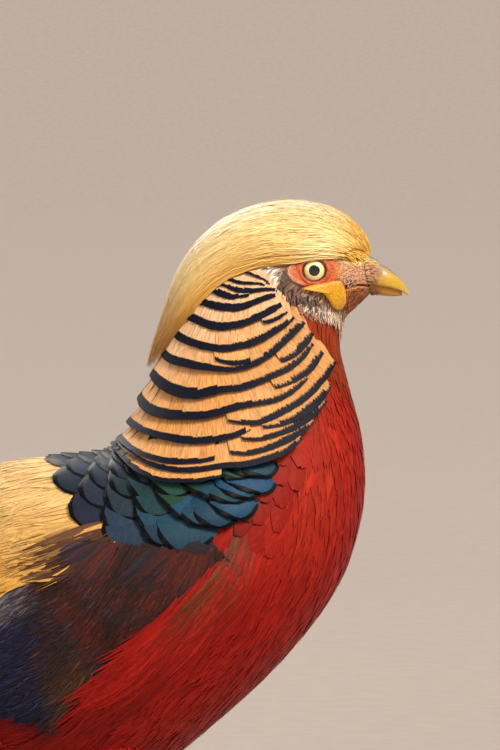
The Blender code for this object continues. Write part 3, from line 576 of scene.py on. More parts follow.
def face_side(x, z):
    """The face's half width at places seen from the side."""
    x, z = np.broadcast_arrays(np.asarray(x, float), np.asarray(z, float))
    t = np.linspace(13.0, LAST_T, 500)
    row = rows_at(TRUNK, t)
    run, fall = row[:, 2] - row[:, 0], row[:, 3] - row[:, 1]
    dx, dz = x[..., None] - row[:, 0], z[..., None] - row[:, 1]
    share = (dx * run + dz * fall) / (run**2 + fall**2)
    best = np.argmin(np.hypot(dx - run * share, dz - fall * share), axis=-1)
    share = np.take_along_axis(share, best[..., None], -1)[..., 0]
    return row[best, 4] * np.sqrt(np.clip(1 - (2 * share - 1) ** 2, 0, 1))


# Where each kind of plumage lies

CREST_EDGE = (
    (11.2, 3), (12, 8), (13, 18), (14, 29), (15, 42), (15.5, 50), (16.3, 65), (17, 73), (18, 75), (19, 69),
    (20, 47), (20.6, 27), (21, 12),
)
CREST_TOP = (
    (11, 5.6), (12, 7.0), (13, 8.8), (14, 11.6), (15, 13.6), (16, 14.2),
    (17, 13.2), (18, 11.5), (19, 9.3), (20, 5.5), (20.6, 2.5), (21, 1.0),
)
CAPE_INNER = ((13.4, 0), (14.0, 18), (14.8, 34), (15.4, 50), (15.7, 66), (15.5, 80))
CAPE_OUTER = ((6.9, 0), (7.2, 34), (8.1, 63), (9.5, 92), (10.9, 120), (12.6, 150))
CAPE_CORNER = 12.6  # t where the cape's lower edge meets its front edge
CAPE_FRONT = (
    (9.4, 92), (10.9, 118), (12.6, 148), (13.2, 136), (14.2, 113), (15.0, 92), (15.8, 78), (16.0, 68),
)
MANTLE_INNER = ((8.5, 0), (8.6, 24), (9.0, 46), (9.8, 64), (10.3, 76), (10.6, 88))
MANTLE_ROWS, MANTLE_COLUMNS = 10, 6
MANTLE_OUTER = ((4.5, 0), (4.6, 22), (4.8, 44), (5.35, 61), (6.75, 77), (8.4, 89))
# Tips of the shoulder's feathers: t, and the angle of the first of three.
SHOULDER_ROWS = ((9.75, 97), (9.25, 95), (8.75, 93), (8.25, 93), (7.8, 95))
WING_TOP = ((0.0, 62), (1.0, 60), (3.0, 62), (4.5, 69), (5.2, 75), (5.8, 81), (6.5, 89), (7.2, 98))
WING_LOW = ((0.0, 95), (1.0, 104), (2.0, 111), (3.0, 114), (4.5, 113), (5.6, 111), (6.6, 109), (7.2, 107))


def cape_front(t):
    """Angle of the cape's front edge."""
    return listed(CAPE_FRONT, t)


def cape_rear(t):
    """Angle of the cape's lower edge on the body."""
    return listed(CAPE_OUTER, t)


def zone_colour(t, angle):
    """The skin's colour, which is its plumage's colour too."""
    angle = np.abs(angle)
    low = listed(WING_LOW, t)
    cape_edge = np.where(t < CAPE_CORNER, cape_rear(t), cape_front(t))
    mantle_edge = np.interp(t, (4.6, 5.5, 6.9, 8.6), (50, 61, 77, 94))
    return layered(
        np.broadcast_to(SCARLET, (*t.shape, 3)) * 0.7,
        (CHESTNUT, smooth(1.6, 0.4, t) * smooth(90, 120, angle)),
        (WING_BROWN, smooth(7.5, 7.2, t) * smooth(low, low - 6, angle)),
        (np.array(GOLD) * 0.8, smooth(5.0, 4.6, t) * smooth(76, 68, angle)),
        (np.array(MANTLE_BLUE) * 0.4, smooth(4.4, 4.8, t) * smooth(1, 0, angle - mantle_edge) * (t < 11)),
        (np.array(ORANGE) * 0.6, 1.0 * (t > 6.9) * (angle < cape_edge)),
    )


FACE_ZONES = (
    # photo x, photo y, half length and half height in pixels, turn, colour
    (286, 291, 16, 20, -50, (0.17, 0.090, 0.058)),
    (283, 277, 9, 9, 0, (0.095, 0.050, 0.032)),
    (312, 297, 16, 5, -14, (0.10, 0.065, 0.048)),
    (320, 313, 23, 12, -6, (0.72, 0.55, 0.42)),
    (269, 273, 12, 14, 0, (0.90, 0.78, 0.66)),
    (359, 299, 16, 13, -35, (0.32, 0.105, 0.035)),
    (357, 270, 21, 13, 0, (0.62, 0.33, 0.19)),
    (358, 258, 15, 6, 0, (0.86, 0.62, 0.20)),
    (336, 266, 6, 11, 0, (0.84, 0.42, 0.10)),
)
EYE_PATCH = (314.0, 270.5, 27.0, 15.5)
MOUTH_CORNER = (349.5, 284.5, 7.5, 3.0, 30)


def face_colour(x, z):
    """The face's colours at places in the side view."""
    zones = ((shade, smooth(1.25, 0.8, blob(x, z, *ellipse))) for *ellipse, shade in FACE_ZONES)
    return layered(np.broadcast_to((0.38, 0.22, 0.145), (*x.shape, 3)), *zones)


def eye_distance(x, z):
    """Distance from the eye's middle in the side view, 1 at the opening's edge."""
    return np.hypot((x - EYE_X) / EYE_OPEN_X, (z - EYE_Z) / EYE_OPEN_Z)


def mouth_distance(x, z):
    """Distance in millimetres from the line of the mouth in the side view."""
    line = np.array(MOUTH_LINE)
    level = np.interp(x, line[:, 0], line[:, 1])
    behind = np.clip(line[0, 0] - x, 0, None)
    return np.hypot(z - level, behind)


def build_skin():
    """One skin from the tail stump to the bill, with the bare face and the eye's openings."""
    body = np.linspace(0.0, HEAD_T, SKIN_BODY_RINGS, endpoint=False)
    head = np.linspace(HEAD_T, LAST_T, SKIN_HEAD_RINGS)
    t = np.concatenate([body, head])[:, None]
    angle = np.linspace(-180, 180, SKIN_AROUND, endpoint=False)[None]
    t, angle = np.broadcast_arrays(t, angle)
    base = on_form(TRUNK, t, angle)
    x, z = base[..., 0], base[..., 2]
    is_face = smooth(14.6, 15.4, t + 0.012 * (np.abs(angle) - 75))
    near = blob(x, z, *EYE_PATCH)
    patch = smooth(1.06, 0.94, near) * is_face
    eye, mouth = eye_distance(x, z), mouth_distance(x, z)
    sunk = smooth(1.06, 0.86, eye) * is_face * (np.abs(np.abs(angle) - 88) < 45)
    corner = smooth(1.3, 0.6, blob(x, z, *MOUTH_CORNER)) * is_face
    folds = np.sin(eye * 9.0 + 1.5 * np.sin(np.arctan2(z - EYE_Z, x - EYE_X) * 3))
    # The skin lies under the coat. The bare patch stands up from it with folds round the eye, and
    # the lids rise round the sunk opening. The mouth is a groove with raised edges.
    lift = (
        -2.5 + 1.8 * smooth(14, 15.2, t)
        + patch * (0.9 + 0.25 * smooth(0.6, 0.95, near))
        + patch * 0.10 * folds * smooth(1.2, 1.7, eye)
        + 0.75 * np.exp(-(((eye - 1.16) / 0.14) ** 2)) * is_face
        - 3.4 * sunk
        - 1.0 * smooth(0.55, 0.1, mouth) * is_face
        + 0.45 * np.exp(-(((mouth - 1.1) / 0.5) ** 2)) * is_face * smooth(96, 100, x)
        - 0.9 * corner
    )
    orange = layered(
        (0.62, 0.095, 0.018),
        ((0.68, 0.150, 0.032), 0.5 + 0.5 * np.sin(x * 2.1 + z * 1.3)),
        ((0.82, 0.36, 0.10), smooth(93, 97, x)),
        # The pale edge at the rear of the bare patch is a painted highlight.
        ((0.90, 0.48, 0.24), smooth(0.75, 1.0, near) * smooth(84, 78, x) * 0.8),
    )
    rim = np.exp(-(((near - 1.0) / 0.05) ** 2)) * smooth(EYE_Z + 1, EYE_Z + 4, z)
    gape = smooth(2.0, 0.6, mouth) * smooth(95, 99, x) * is_face
    colour = layered(
        zone_colour(t, angle),
        (face_colour(x, z), is_face),
        (orange, patch),
        ((0.10, 0.02, 0.04), rim * is_face * 0.8),
        ((0.80, 0.26, 0.06), gape * 0.9),
        # The dark mouth line and its corner are painted shade in the groove.
        ((0.02, 0.008, 0.006), np.maximum(smooth(0.6, 0.25, mouth), corner) * is_face),
        # The skin in the eye's sunk opening is painted dark, a painted shade round the eyeball.
        ((0.03, 0.012, 0.012), np.clip(sunk * 1.5, 0, 1)),
    )
    points = base + form_out(TRUNK, t, angle) * lift[..., None]
    loops, starts = ring_loops(1, *t.shape)
    look = bare_skin("skin", 0.55, 1500.0, 0.0004, 0.35, 0.05, 0.15)
    return new_piece(
        "skin", points.reshape(-1, 3), loops, starts, colour.reshape(-1, 3), look,
        ("torso", "neck", "rump", "head"), uv=unwrap(t, angle).reshape(-1, 2),
    )


def eye_look():
    """A glossy eye: a pale rayed iris with a brown edge, a dark rim and a blue-black pupil."""
    made, tree, shader = new_material("eye_glass")
    off, turn, _ = lie_parts(tree)
    spot = vector_node(tree, math_node(tree, "MULTIPLY", turn, 6.0), math_node(tree, "MULTIPLY", off, 0.35))
    rays = ramp_node(tree, noise_node(tree, spot, 4.0), 0.3, 0.7)
    colour = mix_node(tree, rays, (0.86, 0.72, 0.25), (0.90, 0.82, 0.42))
    # The distances from the eye's middle, in millimetres, between which each colour sets in.
    for low, high, shade in (
        (3.7, 4.5, (0.42, 0.26, 0.07)),
        (4.35, 4.6, (0.02, 0.012, 0.012)),
        (2.42, 2.22, (0.0015, 0.002, 0.006)),
    ):
        colour = mix_node(tree, ramp_node(tree, off, low, high), colour, shade)
    feed(tree, shader, {"Base Color": colour, "Roughness": 0.06, "Coat Weight": 1.0, "Coat Roughness": 0.02})
    return made


def build_eyes():
    """Eyeballs with pale irises, blue-black pupils and a thin dark rim, under the lids' margins."""
    surface = float(face_side(EYE_X, EYE_Z))
    look = eye_look()
    rim_look = bare_skin("lid_margin", 0.3, 2500.0, 0.0001, 0.3, 0.4)
    fall = np.radians(np.linspace(0.5, 179.5, 60))[:, None]
    turn = np.radians(np.linspace(0, 360, 64, endpoint=False))[None]
    off = EYE_RADIUS * np.sin(fall)
    for side, name in SIDES:
        deep = side * (surface - EYE_DEPTH + EYE_RADIUS * np.cos(fall))
        points = columns(EYE_X + off * np.cos(turn), deep, EYE_Z + off * np.sin(turn) * side)
        lie = columns(np.where(fall < math.pi / 2, off, 9.0), turn, 0 * turn)
        loops, starts = ring_loops(1, *points.shape[:2])
        new_piece(
            "eyeball_" + name, points.reshape(-1, 3), loops[::-1], starts, 0.5, look,
            ("eye_" + name,), lie.reshape(-1, 3),
        )
        build_lid_margin(side, name, surface, rim_look)


def build_lid_margin(side, name, surface, look):
    """The thin dark edge of the lids, resting on the eyeball."""
    rings, around = 72, 10
    turn = np.radians(np.linspace(0, 360, rings, endpoint=False))[:, None]
    tube = np.radians(np.linspace(0, 360, around, endpoint=False))[None]
    off = LID_RADIUS + LID_THICK * np.cos(tube)
    reach = np.sqrt(EYE_RADIUS**2 - LID_RADIUS**2)
    y = surface - EYE_DEPTH + reach + 0.25 + LID_THICK * np.sin(tube)
    x, z = EYE_X + off * np.cos(turn) * 1.02, EYE_Z + off * np.sin(turn) * 0.95
    points = columns(x, side * y, z).reshape(-1, 3)
    here = np.arange(rings)[:, None] * around
    after = (np.arange(rings)[:, None] + 1) % rings * around
    j, k = np.arange(around), (np.arange(around) + 1) % around
    faces = columns(here + j, here + k, after + k, after + j).reshape(-1, 4)[:, ::side]
    tint = (0.05, 0.018, 0.02)
    new_piece("lid_margin_" + name, points, faces.ravel(), np.arange(len(faces)) * 4, tint, look)


def crest_shade(t, angle, draw):
    """Cream along the top, a painted highlight, clear yellow on the forehead, and gold to ochre
    down the sides and towards the point."""
    low = np.abs(angle) / listed(CREST_EDGE, t)
    shade = varied(PALE_GOLD, draw, len(t), 0.0, 0.03)
    for colour, share in (
        # The cream along the crest's top is a painted highlight.
        (HIGHLIGHT_CREAM, smooth(0.55, 0.1, low) * smooth(20.0, 18.0, t)),
        (GOLD, smooth(0.5, 1.0, low) * 0.8 * smooth(18.8, 16.5, t)),
        (DEEP_GOLD, smooth(14.6, 12.4, t) * 0.75),
        (BROW_GOLD, smooth(18.0, 19.8, t) * 0.85),
    ):
        shade = washed(shade, colour, share, draw, 0.0)
    return shade


def build_crest():
    """Silky feathers that rise from the crown and run back to a point over the nape, under fine
    loose strands."""
    draw = np.random.default_rng(5)
    look = plumage("crest_silk", 0.38, 4.0, 1.3, 0.20, sheen=0.15, strength=0.2, specular=0.5)
    share = np.array([0, 0.08, 0.22, 0.46, 0.75, 1.0])
    for name, count, low_half, high_half, section, spread in (
        ("crest_coat", 2900, 0.7, 1.25, LEAF, 0.05),
        ("crest_strands", 4600, 0.13, 0.28, STRAND, 0.12),
    ):
        fine = section is STRAND
        start_t = 20.75 - 6.6 * draw.random(count) ** 1.15
        q = np.clip(draw.uniform(-1.03, 1.03, count), -1, 1)
        front = smooth(19.0, 20.3, start_t)
        q = np.where(draw.random(count) < 0.6 * front, np.sign(q) * (1 - 0.3 * draw.random(count)), q)
        reach = draw.uniform(2.4, 4.2, count) * (1 - 0.1 * np.abs(q))
        reach = reach * (1 - 0.45 * front * draw.random(count))
        end_t = np.maximum(start_t - reach, 11.3 + 1.6 * draw.random(count) ** 2)
        t = start_t[:, None] + (end_t - start_t)[:, None] * share
        drift = draw.normal(0, 0.07 if fine else 0.03, count)[:, None] * share
        curl = draw.normal(0, 0.012, count)[:, None]
        curl = curl * np.sin(share * 9 + draw.uniform(0, 6, count)[:, None])
        gather = 1 - (0.05 + 0.42 * front[:, None]) * share**0.6
        q_line = np.clip(q[:, None] * gather + drift + curl, -1.08, 1.08)
        angle = q_line * listed(CREST_EDGE, t)
        top = 1 - 0.66 * q_line**2 - 0.2 * smooth(0.8, 1.0, np.abs(q_line))
        top = listed(CREST_TOP, t) * top
        sunk = 0.25 * draw.random((count, 1)) ** 2 if fine else 0.06 * draw.random((count, 1))
        level = np.minimum(1, 0.12 + 4.2 * share) * (0.86 + 0.14 * share - sunk)
        lift = top * level + fine * (0.35 + draw.normal(0, 0.25, (count, 1))) * share
        out = form_out(TRUNK, t, angle)
        middle = on_form(TRUNK, t, angle) + out * lift[..., None]
        half = draw.uniform(low_half, high_half, count)[:, None]
        half = half * outline(CREST_PLUME, share)
        shade = crest_shade(t.ravel(), angle.ravel(), draw).reshape(*t.shape, 3)
        warmth = draw.normal(0, spread, (count, 1, 3)) * 0.5
        shade = shade * (1 + warmth + draw.normal(0, spread, (count, 1, 1)) * 0.7)
        locks = np.sin(q * 21 + start_t * 1.7) + np.sin(q * 47 - start_t * 2.9)
        shade = shade * (1 + 0.05 * locks[:, None, None] * (1, 1.2, 2.0))
        if fine:
            shade = shade * np.where(draw.random((count, 1, 1)) < 0.12, (0.80, 0.70, 0.45), 1.0)
        root = columns(start_t, q * listed(CREST_EDGE, start_t))
        vanes(
            name, middle, out, half, section, np.clip(shade, 0, 1), root, look,
            () if fine else ("crest",), 0.1, 0.08, seed=6,
        )
    build_brow(look)


def build_brow(look):
    """Short deep yellow strands that rise from the bill's root into the crest."""
    draw = np.random.default_rng(7)
    count = BROW_COUNT
    share = np.array([0, 0.2, 0.45, 0.75, 1.0])
    start_t = 20.93 - 1.5 * draw.random(count) ** 1.3
    q = draw.uniform(-1.0, 1.0, count)
    start = columns(start_t, q * (listed(CREST_EDGE, start_t) + 16))
    end_t = start_t - draw.uniform(0.7, 2.3, count)
    end = columns(end_t, q * listed(CREST_EDGE, end_t) * draw.uniform(0.75, 1.0, count))
    top = listed(CREST_TOP, end_t) * (1 - 0.75 * np.abs(q) ** 1.5) * draw.uniform(0.75, 1.08, count)
    lift = -0.4 + (top[:, None] + 0.5) * share**0.62
    middle, out = lay(TRUNK, start, end, share, lift, draw.normal(0, 0.5, count))
    half = draw.uniform(0.16, 0.34, count)[:, None] * outline((0.7, 1.0, 0.9, 0.6, 0.08), share)
    shade = blended(varied((0.80, 0.42, 0.030), draw, count, 0.15), (0.93, 0.60, 0.12), draw.random(count))
    vanes(
        "crest_brow", middle, out, half, STRAND, shade, start, look, (), 0.14, 0.1,
        seed=8,
    )


# Dark strokes of the cape, from the back to the front. Each is a line of places: q, from the
# spine at 0 to the cape's front edge at 1000, the share of the way down the cape in thousandths,
# and the width in tenths of a millimetre.
CAPE_STROKES = (
    ((600, 0, 5), (720, 32, 8), (800, 45, 7), (900, 50, 4)),
    ((420, 0, 6), (500, 30, 9), (650, 87, 10), (840, 93, 6)),
    ((400, 20, 7), (500, 67, 9), (620, 133, 15), (725, 157, 17), (815, 143, 11), (980, 70, 9)),
    ((320, 0, 10), (395, 53, 13), (510, 123, 20), (600, 173, 17), (695, 190, 8), (750, 190, 2)),
    ((0, -60, 12), (100, -40, 12), (215, 10, 15), (420, 140, 21), (545, 217, 23), (640, 263, 23),
     (715, 268, 20), (805, 238, 17), (940, 153, 11)),
    ((0, 20, 15), (165, 62, 19), (385, 210, 23), (505, 303, 24), (590, 356, 24), (665, 382, 21),
     (735, 387, 19), (805, 370, 21), (875, 335, 19), (950, 265, 12)),
    ((750, 425, 1), (835, 436, 9), (885, 413, 11), (950, 365, 6)),
    ((0, 100, 17), (100, 130, 19), (250, 223, 22), (390, 327, 22), (485, 400, 22), (570, 463, 21),
     (650, 500, 19), (745, 523, 21), (815, 520, 18), (885, 497, 14), (960, 445, 7)),
    ((500, 465, 1), (590, 550, 13), (665, 590, 14), (720, 600, 3)),
    ((0, 205, 16), (100, 245, 21), (260, 347, 24), (365, 417, 24), (455, 480, 23), (525, 533, 19),
     (585, 580, 15), (665, 612, 15), (740, 620, 18), (800, 617, 20), (865, 600, 20), (940, 557, 17),
     (1000, 520, 10)),
    ((770, 680, 1), (830, 695, 13), (880, 704, 18), (935, 687, 20), (980, 655, 11)),
    ((0, 335, 16), (105, 380, 23), (225, 463, 31), (335, 547, 35), (420, 598, 34), (475, 620, 28),
     (540, 645, 20), (600, 676, 20), (650, 692, 18), (705, 704, 17), (780, 724, 17), (835, 740, 16),
     (885, 747, 14), (940, 735, 8)),
    ((705, 755, 1), (770, 785, 10), (820, 801, 15), (860, 816, 18), (900, 826, 17), (950, 826, 11)),
    ((0, 500, 16), (80, 535, 23), (170, 600, 29), (235, 638, 32), (330, 674, 31), (400, 700, 25),
     (465, 722, 23), (560, 743, 19), (625, 765, 16), (685, 796, 13), (735, 815, 15), (790, 828, 14),
     (850, 840, 8)),
    ((510, 775, 1), (605, 838, 14), (655, 853, 17), (710, 863, 17), (755, 871, 18), (810, 886, 18),
     (850, 901, 18), (900, 918, 16), (970, 948, 8)),
    ((0, 700, 17), (80, 720, 20), (150, 743, 20), (230, 767, 19), (340, 803, 24), (400, 820, 23),
     (455, 836, 20), (510, 848, 16), (560, 857, 15), (600, 865, 3)),
    ((620, 875, 1), (695, 903, 13), (755, 920, 18), (810, 935, 21), (850, 952, 19), (900, 975, 8)),
    ((550, 880, 2), (615, 910, 12), (655, 923, 14), (700, 934, 17), (740, 944, 19), (795, 958, 19),
     (860, 983, 9)),
    ((0, 870, 17), (125, 893, 18), (200, 903, 17), (270, 910, 17), (320, 915, 18), (380, 916, 17),
     (455, 923, 12), (500, 930, 3)),
    ((500, 905, 2), (570, 944, 12), (655, 960, 17), (745, 974, 17), (800, 985, 7)),
    ((0, 925, 10), (150, 937, 12), (330, 952, 16), (465, 956, 15), (520, 964, 17), (565, 982, 17),
     (670, 1000, 17), (740, 1000, 8)),
    ((0, 990, 16), (165, 1004, 16), (310, 1012, 14), (410, 1000, 13), (500, 1000, 8)),
)
CAPE_LONG_MM = 80.0
STROKE_WIDEN = 1.58


def build_cape():
    """The cape: rows of broad square-tipped feathers, orange, whose blue-black tips join into
    long strokes."""
    draw = np.random.default_rng(8)
    share = np.array([0, 0.3, 0.52, 0.68, 0.79, 0.87, 0.93, 0.97, 1.0])
    look = plumage("cape_vane", 0.5, 4.0, 1.25, 0.48, ragged=1.0, sheen=0.0, specular=0.12)
    starts, ends, halves, lifts, shades, bars, keen, edges = [], [], [], [], [], [], [], []
    for stroke in CAPE_STROKES:
        fine = traced(np.array(stroke) / (1000, 1000, 10), 200)
        places = guide(CAPE_INNER, CAPE_OUTER, fine[:, 0], fine[:, 1])
        line = on_form(TRUNK, places[:, 0], places[:, 1])
        run = np.concatenate([[0], np.cumsum(np.linalg.norm(np.diff(line, axis=0), axis=1))])
        spacing = 3.4 + 3.4 * smooth(0.0, 0.5, fine[:, 1].mean())
        count = max(3, int(round(run[-1] / spacing)) + 1)
        wide_half = run[-1] / (count - 1) * 0.60
        for side in (-1, 1):
            at = (np.arange(count) + draw.uniform(-0.12, 0.12, count)) / (count - 1) * run[-1]
            at = np.clip(at, 0, run[-1])
            at = at[np.interp(at, run, fine[:, 2]) > 0.3]
            if side < 0 and fine[0, 0] < 0.001:
                at = at[1:]
            q, s, wide = (np.interp(at, run, fine[:, k]) for k in range(3))
            wide = wide * STROKE_WIDEN
            level = 1.2 + 3.6 * smooth(0, 0.6, s) + 0.07 * (np.arange(len(at)) % 2)
            turn = np.array([1, side])
            tip = s + wide / 2 / CAPE_LONG_MM
            near = guide(CAPE_INNER, CAPE_OUTER, q, np.maximum(tip - 0.12 - 0.14 * smooth(0, 0.4, s), -0.12))
            starts.append(near * turn)
            ends.append(guide(CAPE_INNER, CAPE_OUTER, q, tip) * turn)
            beside = at[:, None] - side * wide_half * BROAD[:, 0]
            over = [np.interp(beside, run, fine[:, k]) for k in range(3)]
            reach = over[1] + over[2] * STROKE_WIDEN / 2 / CAPE_LONG_MM
            edge = guide(CAPE_INNER, CAPE_OUTER, over[0], reach) * turn
            edges.append(lifted(TRUNK, edge[..., 0], edge[..., 1], level[:, None]))
            halves.append(np.full(len(at), wide_half))
            lifts.append(level)
            light = 1.0 - 0.9 * smooth(0.1, 0.75, s) + 0.3 * smooth(0.3, 0.0, q) + 0.2 * draw.random(len(at))
            shade = varied(ORANGE, draw, len(at), 0.05, 0.02)
            shades.append(blended(shade, PALE_ORANGE, np.clip(light, 0, 1)))
            bars.append(wide)
            keen.append(1 - 0.66 * smooth(0.45, 0.75, q) * smooth(0.25, 0.6, s))
    start, end = np.concatenate(starts), np.concatenate(ends)
    half, lift = np.concatenate(halves)[:, None], np.concatenate(lifts)[:, None]
    bar, sharp = (np.concatenate(v)[:, None, None] for v in (bars, keen))
    middle, out = lay(TRUNK, start, end, share, -1.5 + (lift + 1.5) * share**0.7)
    half = half * outline(CAPE_SQUARE, share)

    def bar_mark(along, wide, whole, half):
        return (along - whole + bar * 1.05) * sharp

    vanes(
        "cape_coat", middle, out, half, BROAD, np.concatenate(shades), start, look,
        thick=0.06, camber=0.0, ragged=0.3, seed=9, mark=bar_mark, tips=np.concatenate(edges),
    )


def build_mantle():
    """The upper back's broad rounded scales, glossy blue, teal and green with black edges."""
    draw = np.random.default_rng(10)
    share = np.array([0, 0.3, 0.5, 0.64, 0.76, 0.86, 0.93, 0.98, 1.0])
    look = plumage(
        "mantle_vane", 0.38, 50.0, 1.4, 0.35, mark=SCALE_BLACK, ragged=0.6, sheen=0.0, strength=0.2,
        specular=0.08,
    )
    starts, ends, halves, shades = [], [], [], []
    for row, tip in enumerate(np.linspace(0.10, 0.94, MANTLE_ROWS)):
        for side in (-1, 1):
            q = (np.arange(MANTLE_COLUMNS + 1) + (0.5 if row % 2 else 0.0)) / MANTLE_COLUMNS
            q = q[(q <= 1.0) & ((q > 0) | (side > 0))]
            reach = tip + draw.uniform(-0.012, 0.012, len(q))
            turn = np.array([1, side])
            starts.append(guide(MANTLE_INNER, MANTLE_OUTER, q, reach - 0.36) * turn)
            ends.append(guide(MANTLE_INNER, MANTLE_OUTER, q, reach) * turn)
            halves.append(draw.uniform(11.8, 13.6, len(q)) * (1 - 0.18 * smooth(0.25, 0.0, tip)))
            shade = varied(MANTLE_BLUE, draw, len(q), 0.15, 0.08)
            # The teal towards the sides is partly the feathers' own colour and partly a painted sheen.
            teal = varied(MANTLE_TEAL, draw, len(q), 0.15, 0.08)
            shade = blended(shade, teal, smooth(0.35, 0.85, q + draw.normal(0, 0.12, len(q))))
            green = varied(MANTLE_GREEN, draw, len(q), 0.15, 0.08)
            low = smooth(0.85, 0.4, tip + draw.normal(0, 0.08, len(q))) * smooth(0.2, 0.5, q)
            shades.append(blended(shade, green, low))
    start, end = np.concatenate(starts), np.concatenate(ends)
    half = np.concatenate(halves)[:, None] * outline(MANTLE_SHAPE, share)
    middle, out = lay(TRUNK, start, end, share, -1.8 + 5.0 * share**0.8)

    def edge_mark(along, wide, whole, half):
        side_edge = np.abs(wide) - np.maximum(half, 0.1) + 1.7
        return np.maximum(along - whole + 1.9, np.where(along > 0.3 * whole, side_edge, -2.0))

    vanes(
        "mantle_coat", middle, out, half, BROAD, np.concatenate(shades), start, look,
        thick=0.3, camber=0.13, ragged=0.2, seed=11, mark=edge_mark,
    )


def scatter(low_t, high_t, inside, along_step, around_step, draw):
    """Roots spread evenly over the trunk where inside(t, angle) holds, as rows of (t, angle)."""
    roots = []
    t = low_t
    while t < high_t:
        ring = on_form(TRUNK, t, np.linspace(-180, 180, 121))
        around = np.linalg.norm(np.diff(ring, axis=0), axis=1).sum()
        count = max(8, int(around / around_step))
        angle = (np.arange(count) + draw.uniform(-0.42, 0.42, count)) / count * 360 - 180
        rows = t + draw.uniform(-0.5, 0.5, count) * 0.9 * along_step / station_length(t, angle)
        keep = inside(rows, angle)
        roots.append(columns(rows, angle)[keep])
        t += along_step / float(np.median(station_length(t, np.linspace(60, 180, 9))))
    return np.concatenate(roots)


def station_length(t, angle):
    """Length on the trunk of one step of t."""
    t = np.asarray(t, float)
    ahead = on_form(TRUNK, t + 0.1, angle) - on_form(TRUNK, t - 0.1, angle)
    return np.maximum(np.linalg.norm(ahead, axis=-1) / 0.2, 2.0)


def covered(t, angle):
    """True under the cape, mantle, wings and gold back, where no body feather shows."""
    angle = np.abs(angle)
    cape = (t > 7.4) & (angle < np.where(t < CAPE_CORNER, cape_rear(t) - 9, cape_front(t) - 6))
    mantle_edge = np.interp(t, (4.6, 5.5, 6.9, 8.6, 10.0), (50, 57, 72, 90, 100))
    mantle = (t > 4.6) & (t <= 11) & (angle < mantle_edge)
    wing = (t > 0.7) & (t < 7.25) & (angle < listed(WING_LOW, t) - 9)
    return cape | mantle | wing | (t <= 5.6) & (angle < 62)


def in_scarlet(t, angle):
    """True where scarlet feathers grow and show."""
    throat = t < 15.1 + 0.6 * smooth(138, 160, np.abs(angle))
    return ~covered(t, angle) & throat & (t > 0.15)


def flow(t, angle):
    """Slow sideways wander of the body plumage, in degrees, which draws it into locks."""
    return 2.6 * np.sin(t * 3.3 + angle * 0.10) + 1.8 * np.sin(t * 7.1 - angle * 0.23 + 1.0)


def body_coat(
    name, roots, draw, length, width, lift, shade, look, form=TRUNK, lean=0.0, section=LEAF, under=2.0,
):
    """Pointed body feathers from roots, lying back along the trunk, each over the next one's root.
    lift is the tips' height, a number or a function of the places along the feathers."""
    count = len(roots)
    share = np.array([0, 0.25, 0.5, 0.72, 0.88, 1.0])
    long = length * draw.uniform(0.75, 1.25, count)
    step = long / station_length(roots[:, 0], roots[:, 1])
    end = roots.copy()
    end[:, 0] = np.maximum(end[:, 0] - step, -0.3)
    sign = np.sign(roots[:, 1])
    end[:, 1] += sign * (lean + flow(roots[:, 0], np.abs(roots[:, 1]))) + draw.normal(0, 1.2, count)
    t = roots[:, :1] + (end[:, :1] - roots[:, :1]) * share
    angle = roots[:, 1:] + (end[:, 1:] - roots[:, 1:]) * share
    top = lift(t, np.abs(angle)) if callable(lift) else lift
    high = top - under * (1 - share) - 0.12 * draw.random((count, 1))
    middle, out = lay(form, roots, end, share, high, draw.normal(0, 0.8, count))
    half = (width / 2 * draw.uniform(0.75, 1.25, count))[:, None]
    half = half * outline(LANCET, share)
    vanes(
        name, middle, out, half, section, shade, roots, look, (), 0.1, 0.05,
        seed=int(draw.integers(1e6)),
    )


def scarlet_shade(roots, draw, spread=0.10):
    """Scarlet, rusty on the throat and chestnut under the tail. The upper breast is lighter, a painted
    highlight, and the flanks and belly are darker and deeper, a painted shade.
    """
    count = len(roots)
    t, angle = roots[:, 0], np.abs(roots[:, 1])
    shade = varied(SCARLET, draw, count, spread, 0.03)
    # The upper breast turns to a lighter red, a painted highlight.
    upper = smooth(7.5, 11.0, t) * smooth(165, 120, angle)
    bright = varied(BRIGHT_RED, draw, count, spread)
    shade = blended(shade, bright, 0.7 * upper + 0.25 * draw.random(count) ** 2)
    locks = 0.5 + 0.5 * np.sin(t * 5.3 + angle * 0.31 + 1.3 * np.sin(angle * 0.12))
    # The feathers darken towards the flanks and belly, a painted shade.
    shade = shade * (0.82 + 0.18 * locks - 0.22 * smooth(7.6, 4.0, t))[:, None]
    shade = washed(shade, RUSTY_RED, smooth(12.4, 13.6, t) * 0.9, draw, spread)
    return washed(shade, CHESTNUT, smooth(1.8, 0.6, t) * smooth(100, 140, angle), draw)


